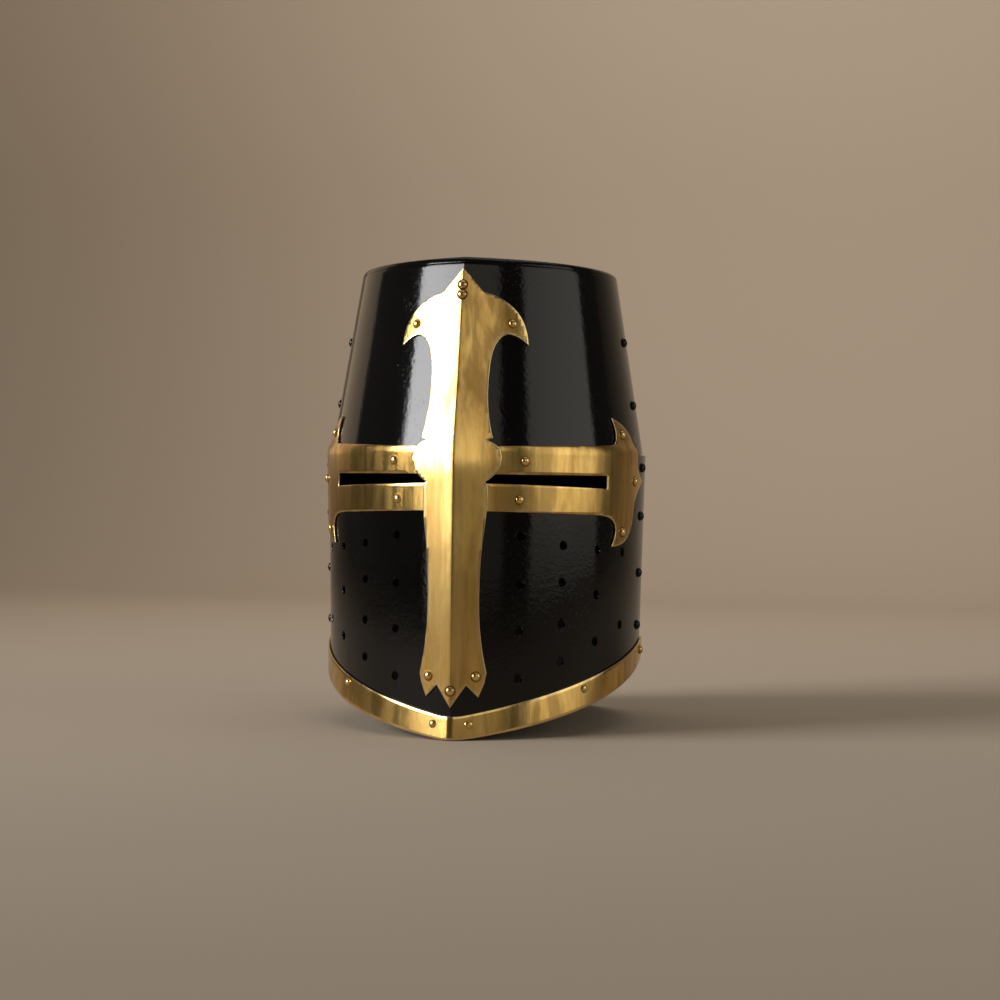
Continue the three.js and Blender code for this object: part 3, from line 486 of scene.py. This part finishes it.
# Brass. The cross and the rim are 1.2 mm sheet, sawn out, filed and brushed upright, with dark brown
# vertical streaks along the brushing that are painted reflections of dark surroundings, small pits, and
# edges that rubbing keeps bright.
def brass(name, grain=(1500, 1500, 55), streak_and_pit_weight=0.6, shine=0.15, pulled=0.25):
    finish, shader, join, add = bare_finish(name)
    place = add("ShaderNodeTexCoord").outputs["Object"]
    along = add("ShaderNodeMapping", i0=place, Scale=grain)
    brushed = add("ShaderNodeTexNoise", Vector=along.outputs[0], Scale=1.0, Detail=3.0, Roughness=0.6)
    coarse = (grain[0] * 0.1, grain[1] * 0.1, min(grain[2] * 0.1, 9))
    wide = add("ShaderNodeMapping", i0=place, Scale=coarse)
    strokes = add("ShaderNodeTexNoise", Vector=wide.outputs[0], Scale=1.0, Detail=3.0, Roughness=0.5)
    upward = add("ShaderNodeMapping", i0=place, Scale=(62, 62, 15))
    cloud = add("ShaderNodeTexNoise", Vector=upward.outputs[0], Scale=1.0, Detail=3.0, Roughness=0.55,
                Distortion=0.5)
    spot = add("ShaderNodeTexNoise", Vector=place, Scale=330.0, Detail=3.0, Roughness=0.6)
    blotch = scaled(add, strokes.outputs["Fac"], 0.8, cloud.outputs["Fac"])
    # painted reflection: dark vertical streaks along the brushing stand for dark surroundings mirrored in
    # the brass
    reflection_streaks = ramp(add, blotch, [(0.78, 0.0), (1.08, 1.0)])
    pitted = ramp(add, spot.outputs["Fac"], [(0.66, 0.0), (0.78, 1.0)])
    rubbed = add("ShaderNodeAttribute", {"attribute_name": "rub"}).outputs["Fac"]
    # painted shade: a vertex mask that darkens each brass rivet's foot where it meets the plate
    grime = add("ShaderNodeAttribute", {"attribute_name": "grime"}).outputs["Fac"]
    tones = [(0.3, (0.66, 0.41, 0.115)), (0.5, (0.80, 0.53, 0.170)), (0.7, (0.88, 0.63, 0.235))]
    bright = ramp(add, strokes.outputs["Fac"], tones)
    share = scaled(add, pitted, 0.35, reflection_streaks, clamp=True)
    # the painted reflection streaks, the pits and the painted shade at rivet feet pull the colour towards
    # dark brown and the roughness up
    streaks_pits_and_foot_shade = scaled(add, share, streak_and_pit_weight, grime, clamp=True)
    dull = add("ShaderNodeMix", {"data_type": "RGBA"}, i6=bright, i7=(0.27, 0.135, 0.030, 1))
    join(streaks_pits_and_foot_shade, dull.inputs[0])
    edged = add("ShaderNodeMix", {"data_type": "RGBA"}, i6=dull.outputs[2], i7=(0.93, 0.75, 0.42, 1))
    join(scaled(add, rubbed, 0.6), edged.inputs[0])
    join(edged.outputs[2], shader.inputs["Base Color"])
    shader.inputs["Metallic"].default_value = 1.0
    shader.inputs["Anisotropic"].default_value = pulled
    shader.inputs["Anisotropic Rotation"].default_value = 0.25
    upright = add("ShaderNodeCombineXYZ", i2=1.0)
    join(upright.outputs[0], shader.inputs["Tangent"])
    rough = scaled(add, brushed.outputs["Fac"], 0.12, shine - 0.06)
    join(scaled(add, streaks_pits_and_foot_shade, 0.16, rough), shader.inputs["Roughness"])
    dents = add("ShaderNodeTexNoise", Vector=place, Scale=60.0, Detail=2.0)
    height = scaled(add, dents.outputs["Fac"], 3.0, brushed.outputs["Fac"])
    bump = add("ShaderNodeBump", Strength=0.22, Distance=0.0001, Height=height)
    join(bump.outputs[0], shader.inputs["Normal"])
    return finish


cross_brass = brass("cross_brass")
STEP, CROSS_CELL = (0.192, 0.198), 0.0022


def curve_to(points, pull, end, steps=12):
    """Adds a smooth curve to an outline, from its last point."""
    (a, b), (c, d), (e, f) = points[-1], pull, end
    for i in range(1, steps + 1):
        t = i / steps
        start, middle, last = (1 - t) ** 2, 2 * t * (1 - t), t * t
        points.append((start * a + middle * c + last * e, start * b + middle * d + last * f))


def eased(z, start, end):
    """0 below start and 1 above end, with a smooth rise between."""
    t = min(max((z - start) / (end - start), 0), 1)
    return t * t * (3 - 2 * t)


def step_in(z):
    """How far brass above the lower plates' edge steps in, to lie on the upper plates."""
    return -LAYER * eased(z, *STEP)


def sawn_sheet(outline, place_of, cell=CROSS_CELL, edge=0.00028):
    """Cuts an outline (millimetres) from brass sheet, files its edges round and bends it over the wall."""
    blank = bmesh.new()
    back = blank.faces.new([blank.verts.new((a / 1000, b / 1000, 0)) for a, b in outline])
    skin = bmesh.ops.extrude_face_region(blank, geom=[back])["geom"]
    outer = [g for g in skin if isinstance(g, bmesh.types.BMVert)]
    bmesh.ops.translate(blank, vec=(0, 0, BRASS), verts=outer)
    bmesh.ops.recalc_face_normals(blank, faces=blank.faces[:])
    rims = [e for e in blank.edges if abs(e.verts[0].co.z - e.verts[1].co.z) < 1e-7]
    bmesh.ops.bevel(blank, geom=rims, offset=edge, offset_type="OFFSET", segments=2, profile=0.5,
                    affect="EDGES", material=-1, clamp_overlap=True)
    low = [min(v.co[axis] for v in blank.verts) for axis in (0, 1)]
    high = [max(v.co[axis] for v in blank.verts) for axis in (0, 1)]
    for axis in (0, 1):
        first, last = int(low[axis] / cell) - 1, int(high[axis] / cell) + 1
        for i in range(first, last + 1):
            if low[axis] < i * cell < high[axis]:
                normal = Vector((1, 0, 0)) if axis == 0 else Vector((0, 1, 0))
                whole = blank.verts[:] + blank.edges[:] + blank.faces[:]
                bmesh.ops.bisect_plane(blank, geom=whole, dist=1e-6, plane_co=normal * (i * cell),
                                       plane_no=normal)
    tree = kdtree.KDTree(len(outline) * 4)
    for i, (a, b) in enumerate(outline):
        c, d = outline[(i + 1) % len(outline)]
        for k in range(4):
            tree.insert((a / 1000 + (c - a) * k / 4000, b / 1000 + (d - b) * k / 4000, 0), i * 4 + k)
    tree.balance()
    rub = blank.verts.layers.float.new("rub")
    for v in blank.verts:
        near = tree.find((v.co.x, v.co.y, 0))[2]
        v[rub] = max(0.0, 1 - near / 0.0022)
        v.co = place_of(v.co.x, v.co.y, v.co.z)
    bmesh.ops.recalc_face_normals(blank, faces=blank.faces[:])
    return blank


# The cross's upright: one sheet folded along the ridge, with two horns at the head, a lobe beside
# each sight and a toothed foot. It rides up over the arms, which are riveted on under it.
half_outline = [(0, 311.4), (14, 295)]
curve_to(half_outline, (41, 289), (43.2, 260))
curve_to(half_outline, (37, 266.5), (30, 267.2), 6)
curve_to(half_outline, (20.5, 264), (19.6, 243))
curve_to(half_outline, (17.8, 218), (23.4, 197.3))
half_outline.append((20.4, 195.8))
curve_to(half_outline, (29.5, 192.5), (29, 183), 8)
curve_to(half_outline, (28.3, 174), (19.3, 168.3), 8)
half_outline.append((20.8, 165.5))
curve_to(half_outline, (21.2, 152), (19.3, 137))
curve_to(half_outline, (16.8, 119), (16.8, 91))
curve_to(half_outline, (16.8, 66), (22, 43.5))
half_outline += [(20.7, 36.8), (17.2, 27.7), (9.6, 35.7), (0, 21.1)]
upright_outline = half_outline + [(-x, z) for x, z in half_outline[-2:0:-1]]


ARMS_RISE, ARMS_FALL, BROW_FALL = (0.030, 0.148), (0.192, 0.262), (0.182, 0.252)
BEND_STEP, BEND_REACH = 0.0025, 8


def over_arms(z):
    """How far the upright rises to pass over the arms."""
    return (BRASS + GAP) * eased(z, *ARMS_RISE) * (1 - eased(z, *ARMS_FALL))


def on_face(x, z, h):
    """Places the upright. Its bend at the brow is drawn out over 40 mm, so it has no crease there."""
    lift = -LAYER * eased(z, *BROW_FALL) + over_arms(z) + GAP + h
    reach = BEND_REACH if abs(z - BROW) < 0.025 else 0
    heights = [z + BEND_STEP * step for step in range(-reach, reach + 1)]
    return sum((wall(turn_at_x(x, height), height, lift) for height in heights), Vector()) / len(heights)


def soften_ridge(blank):
    """Rounds the fold where a sheet crosses the ridge."""
    middle = [e for e in blank.edges if all(abs(v.co.x) < 1e-6 for v in e.verts)]
    ridge = [e for e in middle if e.calc_face_angle(0) > 0.3]
    bmesh.ops.bevel(blank, geom=ridge, offset=0.0005, offset_type="OFFSET", segments=3, profile=0.5,
                    affect="EDGES", material=-1, clamp_overlap=True)


upright = sawn_sheet(upright_outline, on_face)
soften_ridge(upright)
make_piece("cross_upright_brass", upright, [cross_brass], "shell", "brass", "cross_upright", crease=50)


# The cross's arms: each is one sheet that frames a sight above, below and behind, and ends in a
# crescent with a point on the temple. Their inner ends lie under the upright.
arm_outline = [(-139.6, 149.3), (-80, 147.4)]
curve_to(arm_outline, (-64, 146.6), (-62.6, 138.5), 8)
curve_to(arm_outline, (-62.4, 132.5), (-67, 125.8), 6)
curve_to(arm_outline, (-43.5, 126), (-38.8, 147))
curve_to(arm_outline, (-39.5, 160), (-21, 171.6))
curve_to(arm_outline, (-35, 178), (-32.2, 188), 10)
curve_to(arm_outline, (-33, 207.5), (-60.3, 214.4))
curve_to(arm_outline, (-56.2, 206), (-58.6, 200.5), 8)
curve_to(arm_outline, (-59.6, 195.9), (-65, 195.3), 6)
arm_outline += [(-139.6, 191.6), (-139.6, 173.4), (-72.5, 174.2), (-72.5, 165.4), (-139.6, 167.6)]


for side, word in ((1, "left"), (-1, "right")):
    def on_temple(y, z, h):
        return wall(side * turn_at_y(y, z), z, step_in(z) + GAP + h)

    arm = sawn_sheet(arm_outline, on_temple)
    make_piece(f"cross_arm_brass_{word}", arm, [cross_brass], "shell", "brass", f"cross_arm_{word}",
               crease=50)


# The rim: brass strips over the lower edge, one round the face, folded at the ridge, and one round
# the neck. They meet at the sides and are riveted through the steel.
RIM_LIFT, RIM_FLAT, RIM_LEAN = 0.0005, 0.0155, 0.0017


def rim_width(turn):
    return 0.0150 + (0.003 * sin(pi * abs(turn)) if abs(turn) < 1 else 0)


def bend_rim(length, turn_of, columns, lift):
    """Bends a strip along the lower edge. Its foot leans out from the ridge to the cheeks."""
    strip = rounded_sheet(length, RIM_FLAT, BRASS, columns, 8, 0.0003)
    rub = strip.verts.layers.float.new("rub")
    for v in strip.verts:
        share = v.co.y / RIM_FLAT + 0.5
        v[rub] = max(0.0, 1 - min(share, 1 - share) * RIM_FLAT / 0.0018)
        turn = turn_of(v.co.x / length + 0.5)
        lean = RIM_LEAN * min(1.0, max(0.0, (0.9 - abs(turn)) / 0.4)) * (1 - share)
        v.co = wall(turn, foot(turn) + RIM_LIFT + rim_width(turn) * share, lift + lean + v.co.z)
    return strip


rim_front = bend_rim(0.30, face_turn, 160, GAP + BRASS)
soften_ridge(rim_front)
make_piece("rim_brass_front", rim_front, [cross_brass], "shell", "brass", "rim_front", crease=50)


NECK_START = 1.006


def neck_turn(share):
    around = NECK_START + (4 - 2 * NECK_START) * share
    return around if around <= 2 else around - 4


rim_back = bend_rim(0.36, neck_turn, 160, GAP + BRASS - LAYER)
make_piece("rim_brass_back", rim_back, [cross_brass], "shell", "brass", "rim_back", crease=50)


# Rivets. Brass ones with low domed heads hold the cross and the rim, and black ones the seams, the liner and
# the strap. Each is peened over inside. The brass heads' feet, where they meet the plate, are darkened as
# painted shade.
rivet_brass = brass("rivet_brass", grain=(700, 700, 700), streak_and_pit_weight=0.35, shine=0.20, pulled=0.0)
rivet_black = enamel("rivet_enamel")
HEADS = {"brass_rivets": (0.0030, 0.0021, 0.0020, rivet_brass),
         "black_rivets": (0.0034, 0.0025, 0.0023, rivet_black)}
SHANK, TAIL = 0.0015, 0.0025
slots = {part["node"]: part["material_slot"] for part in frame["record"]["subparts"]}

for name, node in frame["nodes"].items():
    if "rivet" not in name:
        continue
    radius, height, head_deep, finish = HEADS[slots[name]]
    points = np.array([v.co for v in node.data.vertices])
    low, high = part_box(name)
    middle = (low + high) / 2
    unique = np.unique(points.round(6), axis=0)
    spread = np.linalg.eigh(np.cov((unique - unique.mean(0)).T))
    gaps = np.abs(np.diff(spread[0]))
    outward = Vector(spread[1][:, 0] if gaps[0] > gaps[1] else spread[1][:, 2])
    if outward.dot(Vector((middle.x, middle.y, 0))) < 0:
        outward = -outward
    centre = Vector(unique.mean(0))
    reach = [float(value) for value in (unique - unique.mean(0)) @ np.array(outward)]
    top, bottom = max(reach), min(reach)
    seat = top - head_deep
    profile = [(0, bottom), (TAIL * 0.55, bottom + 0.00015), (TAIL * 0.9, bottom + 0.0006),
               (TAIL, bottom + 0.0011), (SHANK, bottom + 0.0012), (SHANK, seat - 0.0004),
               (radius + 0.0006, seat - 0.0004), (radius + 0.0007, seat - 0.00033), (radius, seat - 0.00028)]
    for degrees in (84, 74, 62, 49, 34, 18, 0):
        profile.append((radius * sin(radians(degrees)), seat - 0.0003 + height * cos(radians(degrees))))
    blank = bmesh.new()
    turned_piece(blank, profile, 20)
    bmesh.ops.transform(blank, matrix=facing(centre, outward), verts=blank.verts)
    rub, grime = blank.verts.layers.float.new("rub"), blank.verts.layers.float.new("grime")
    for v in blank.verts:
        rise = (v.co - centre).dot(outward)
        v[rub] = 0.7 if rise > top - 0.0006 else 0.0
        # painted shade: the foot of the head, below its seat, is darkened where it meets the plate
        v[grime] = 1.0 if rise < seat - 0.00025 else 0.0
    make_piece(f"{name}_head", blank, [finish], "shell", slots[name], name, crease=45)


# The liner: brown leather riveted round the brow, cut above into eight tongues that bend in over
# the head, and drawn together by a rawhide lace.
def leather(name, tones, grain=900.0, shine=0.5):
    finish, shader, join, add = bare_finish(name)
    place = add("ShaderNodeTexCoord").outputs["Object"]
    pores = add("ShaderNodeTexVoronoi", Vector=place, Scale=grain)
    creases = add("ShaderNodeTexNoise", Vector=place, Scale=grain * 0.3, Detail=6.0, Roughness=0.65,
                  Distortion=0.8)
    wear = add("ShaderNodeTexNoise", Vector=place, Scale=38.0, Detail=5.0, Roughness=0.6)
    mixed = scaled(add, creases.outputs["Fac"], 0.45, wear.outputs["Fac"])
    join(ramp(add, mixed, list(zip((0.45, 0.72, 0.95), tones))), shader.inputs["Base Color"])
    dullness = [(0.3, shine - 0.1), (0.7, shine + 0.15)]
    join(ramp(add, creases.outputs["Fac"], dullness), shader.inputs["Roughness"])
    height = scaled(add, pores.outputs["Distance"], 0.8, creases.outputs["Fac"])
    bump = add("ShaderNodeBump", Strength=0.6, Distance=0.00025, Height=height)
    join(bump.outputs[0], shader.inputs["Normal"])
    return finish


LINER_TONES = ((0.055, 0.024, 0.012), (0.115, 0.052, 0.026), (0.20, 0.10, 0.05))
liner_leather = leather("liner_leather", LINER_TONES, 900.0, 0.52)
LEATHER, BAND, BAND_LIFT = 0.0025, (0.177, 0.207), -0.0058
TONGUES, TONGUE_TOP, TONGUE_REACH, LACE_PLACE = 8, 0.288, 0.24, 0.9
HUB = Vector((0, WIDEST_Y - 0.004, 0))
BAND_ROUND, BAND_TALL = 0.75, BAND[1] - BAND[0]
TONGUE_WIDE, TONGUE_LONG = 0.085, 0.13


def tongue_point(turn, v, lift):
    """A point of the liner above its band: v is 0 at the band and 1 at the tips."""
    around = (turn + 2) % 4 - 2
    angle = v * pi / 2
    base = wall(around, BAND[1] - 0.002, BAND_LIFT - LEATHER / 2 - 0.0009) - HUB
    base.z = 0
    share = TONGUE_REACH + (1 - TONGUE_REACH) * cos(angle) ** 2
    rise = BAND[1] - 0.002 + (TONGUE_TOP - BAND[1]) * sin(angle) + lift * sin(angle)
    return base * share + base.normalized() * lift * cos(angle) + HUB + Vector((0, 0, rise))


liner = rounded_sheet(BAND_ROUND, BAND_TALL, LEATHER, 240, 6, 0.0006)
for v in liner.verts:
    turn = 4 * (v.co.x / BAND_ROUND + 0.5)
    rise = BAND[0] + BAND_TALL * (v.co.y / BAND_TALL + 0.5)
    v.co = wall(turn if turn <= 2 else turn - 4, rise, BAND_LIFT + v.co.z)
for i in range(TONGUES):
    tongue = rounded_sheet(TONGUE_WIDE, TONGUE_LONG, LEATHER, 10, 34, 0.0006)
    for v in tongue.verts:
        rise = v.co.y / TONGUE_LONG + 0.5
        across = v.co.x / (TONGUE_WIDE / 2)
        round_end = 1 - 0.22 * max(0, (rise - 0.93) / 0.07) ** 2
        turn = (i + 0.5) * 4 / TONGUES + across * (0.225 - 0.04 * rise) * round_end
        v.co = tongue_point(turn, rise, LEATHER / 2 + v.co.z)
    scrap = bpy.data.meshes.new("scrap")
    tongue.to_mesh(scrap)
    tongue.free()
    liner.from_mesh(scrap)
    bpy.data.meshes.remove(scrap)
bmesh.ops.recalc_face_normals(liner, faces=liner.faces[:])
make_piece("liner_hide", liner, [liner_leather], "shell", "liner_leather", "liner")

LACE_TONES, LACE_WEAVE = ((0.20, 0.12, 0.06), (0.34, 0.21, 0.11), (0.48, 0.33, 0.19)), 0.0033
lace_hide = leather("lace_hide", LACE_TONES, 1500.0, 0.6)
lace_line = bpy.data.curves.new("liner_lace_hide", "CURVE")
lace_line.dimensions = "3D"
lace_line.bevel_depth, lace_line.bevel_resolution = 0.0012, 2
lace_spline = lace_line.splines.new("POLY")
lace_spline.points.add(TONGUES * 16 - 1)
for i, point in enumerate(lace_spline.points):
    turn = i * 4 / (TONGUES * 16)
    weave = LACE_WEAVE * tanh(4 * cos(turn * TONGUES * pi / 4))
    point.co = (*tongue_point(turn, LACE_PLACE, weave), 1)
lace_spline.use_cyclic_u = True


def pipe_piece(name, line, finish, body, slot, *nodes):
    """Makes a thick line a mesh piece."""
    wire = bpy.data.objects.new(name + "_line", line)
    bpy.context.collection.objects.link(wire)
    graph = bpy.context.evaluated_depsgraph_get()
    data = bpy.data.meshes.new_from_object(wire.evaluated_get(graph))
    bpy.data.objects.remove(wire)
    blank = bmesh.new()
    blank.from_mesh(data)
    bmesh.ops.remove_doubles(blank, verts=blank.verts[:], dist=1e-6)
    bmesh.ops.recalc_face_normals(blank, faces=blank.faces[:])
    return make_piece(name, blank, [finish], body, slot, *nodes)


pipe_piece("liner_lace_thong", lace_line, lace_hide, "shell", "lace_leather", "liner_lace")


# The chin strap: dark leather, 20 mm wide, in a loop between its two rivets. The short end folds
# round the buckle's bar, and the long end passes through the frame, over the short one and
# through a keeper.
STRAP_TONES = ((0.022, 0.010, 0.006), (0.045, 0.021, 0.012), (0.085, 0.042, 0.024))
strap_leather = leather("strap_leather", STRAP_TONES, 1100.0, 0.42)
PIVOT_TURN, PIVOT_Z, LOOP, STRAP_WIDTH = 0.905, 0.147, (0.1013, 0.119), 0.020
strap_root, strap_aim = wall(PIVOT_TURN, PIVOT_Z), wall_facing(PIVOT_TURN, PIVOT_Z)
PIVOT_Y = strap_root.y - strap_aim.y / strap_aim.x * (strap_root.x - LOOP[0] - LEATHER / 2)
BUCKLE_AT, BUCKLE_END, BAR = 52, 62.5, 0.0015
FOLD = BAR + 0.0005 + LEATHER / 2
BAR_LIFT = LEATHER / 2 - FOLD
UNDER, OVER = BAR_LIFT - FOLD, LEATHER * 1.5 + GAP
DEGREE = 0.002


def loop_point(degrees, lift, y=PIVOT_Y):
    """A point of the strap's loop: 0 at the +X rivet, 180 at the other, lift outside its inner face."""
    angle = radians(degrees)
    out = Vector((LOOP[1] * cos(angle), 0, -LOOP[0] * sin(angle))).normalized() * lift
    return Vector((LOOP[0] * cos(angle) + out.x, y, PIVOT_Z - LOOP[1] * sin(angle) + out.z))


def strap_piece(name, path, node, tip=0.0):
    """Lays a strip of leather along a path of (degrees, lift) pairs."""
    line = [loop_point(*pair) for pair in path]
    ends = [sum((b - a).length for a, b in zip(line[:i], line[1:i + 1])) for i in range(len(line))]
    length = ends[-1]
    count = int(length / 0.0012)
    at = np.linspace(0, length, count + 1)
    xs = np.interp(at, ends, [point.x for point in line])
    zs = np.interp(at, ends, [point.z for point in line])
    for _ in range(3):
        xs[1:-1] = (xs[:-2] + 2 * xs[1:-1] + xs[2:]) / 4
        zs[1:-1] = (zs[:-2] + 2 * zs[1:-1] + zs[2:]) / 4
    strip = rounded_sheet(length, STRAP_WIDTH, LEATHER, count, 8, 0.0005)
    for v in strip.verts:
        place = min(max((v.co.x / length + 0.5) * count, 0), count)
        i = min(int(place), count - 1)
        t = place - i
        centre = Vector((xs[i] * (1 - t) + xs[i + 1] * t, 0, zs[i] * (1 - t) + zs[i + 1] * t))
        a, b = max(i - 1, 0), min(i + 2, count)
        along = Vector((xs[b] - xs[a], 0, zs[b] - zs[a])).normalized()
        out = Vector((-along.z, 0, along.x))
        narrow = 1 - 0.55 * max(0.0, 1 - place * length / count / tip) ** 2 if tip else 1
        v.co = centre + out * (v.co.z + LEATHER / 2) * -1 + Vector((0, PIVOT_Y + v.co.y * narrow, 0))
    bmesh.ops.recalc_face_normals(strip, faces=strip.faces[:])
    return make_piece(name, strip, [strap_leather], "chin_strap", "strap_leather", node)


short_path = [(-4 + (BUCKLE_AT + 3.5) * i / 12, LEATHER / 2) for i in range(13)]
for tilt in range(80, -81, -20):
    short_path.append((BUCKLE_AT + FOLD * cos(radians(tilt)) / DEGREE, BAR_LIFT + FOLD * sin(radians(tilt))))
short_path += [(BUCKLE_AT - 1.5, UNDER + 0.0002), (BUCKLE_AT - 5, -LEATHER / 2 - GAP - 0.0004),
               (BUCKLE_AT - 14, -LEATHER / 2 - GAP)]
long_path = [(18 + (BUCKLE_AT - 19) * i / 8, OVER) for i in range(9)]
long_path += [(BUCKLE_AT + 1.8, OVER - 0.0003), (BUCKLE_AT + 5, (OVER + UNDER) / 2),
              (BUCKLE_END - 2.2, UNDER + 0.0002)]
for i in range(25):
    rise = (LEATHER / 2 - UNDER) * min(1, i / 24 * 1.15)
    long_path.append((BUCKLE_END + 1 + (183 - BUCKLE_END) * i / 24, UNDER + rise))
strap_piece("chin_strap_short_hide", short_path, "chin_strap_short")
strap_piece("chin_strap_long_hide", long_path, "chin_strap_long", tip=0.012)

KEEPER_AT, KEEPER_SPAN, KEEPER_THICK = 33, 2.2, 0.0016
keeper = bmesh.new()


def keeper_ring(degrees, grow):
    """A four-sided loop round both straps, made larger by grow."""
    low, high, half = -0.0004 - grow, 2 * LEATHER + GAP + 0.0005 + grow, STRAP_WIDTH / 2 + 0.0006 + grow
    corners = ((-1, low), (1, low), (1, high), (-1, high))
    return closed_line(keeper, [loop_point(degrees, lift, PIVOT_Y + side * half) for side, lift in corners])


outer = [keeper_ring(KEEPER_AT + end * KEEPER_SPAN, KEEPER_THICK) for end in (-1, 1)]
inner = [keeper_ring(KEEPER_AT + end * KEEPER_SPAN, 0.0) for end in (-1, 1)]
for one, other in ((outer[0], outer[1]), (inner[0], inner[1]), (outer[0], inner[0]), (outer[1], inner[1])):
    bmesh.ops.bridge_loops(keeper, edges=one + other)
bmesh.ops.recalc_face_normals(keeper, faces=keeper.faces[:])
bmesh.ops.bevel(keeper, geom=keeper.edges[:], offset=0.0004, offset_type="OFFSET", segments=2, profile=0.5,
                affect="EDGES", material=-1, clamp_overlap=True)
make_piece("strap_keeper_hide", keeper, [strap_leather], "chin_strap", "strap_leather", "strap_keeper")


# The buckle: a cast brass frame, and a brass prong that turns on its bar and rests on the far one.
buckle_brass = brass("buckle_brass", grain=(900, 900, 900), streak_and_pit_weight=0.6, shine=0.3, pulled=0.0)


def wire_line(name, points, depth, closed=False):
    line = bpy.data.curves.new(name, "CURVE")
    line.dimensions = "3D"
    line.bevel_depth, line.bevel_resolution, line.use_fill_caps = depth, 4, not closed
    spline = line.splines.new("POLY")
    spline.points.add(len(points) - 1)
    for point, place in zip(spline.points, points):
        point.co = (*place, 1)
    spline.use_cyclic_u = closed
    return line


frame_half = STRAP_WIDTH / 2 + 0.0026
CORNER_ROUND = 0.0022
corners = [loop_point(degrees, BAR_LIFT, PIVOT_Y + side * frame_half)
           for degrees, side in ((BUCKLE_AT, -1), (BUCKLE_AT, 1), (BUCKLE_END, 1), (BUCKLE_END, -1))]
frame_path = []
for i in range(4):
    before, here, after = corners[i - 1], corners[i], corners[(i + 1) % 4]
    a = here + (before - here).normalized() * CORNER_ROUND
    b = here + (after - here).normalized() * CORNER_ROUND
    frame_path += [(1 - t) ** 2 * a + 2 * t * (1 - t) * here + t * t * b for t in (0, 0.25, 0.5, 0.75, 1)]
frame_line = wire_line("buckle_frame", frame_path, BAR, True)
pipe_piece("buckle_frame_cast", frame_line, buckle_brass, "chin_strap", "buckle_brass", "buckle_frame")

hub = loop_point(BUCKLE_AT, BAR_LIFT)
tip = loop_point(BUCKLE_END + 0.9, BAR_LIFT + BAR + 0.0014)
direction = (tip - hub).normalized()
across = direction.cross(Vector((0, 1, 0)))
EYE_RADIUS = BAR + 0.0013
eye = []
for degrees in range(0, 360, 24):
    eye.append(hub + (direction * cos(radians(degrees)) + across * sin(radians(degrees))) * EYE_RADIUS)
root = hub + direction * EYE_RADIUS
prong_path = [root + (tip - root) * t for t in (0.0, 0.3, 0.6, 0.9, 1.0)]
prong_line = wire_line("buckle_prong", eye, 0.0009, True)
shaft = prong_line.splines.new("POLY")
shaft.points.add(len(prong_path) - 1)
for point, place, size in zip(shaft.points, prong_path, (1.0, 1.15, 1.1, 0.95, 0.6)):
    point.co, point.radius = (*place, 1), size
prong_line.use_fill_caps = True
pipe_piece("buckle_prong_wire", prong_line, buckle_brass, "prong", "buckle_brass", "buckle_prong")
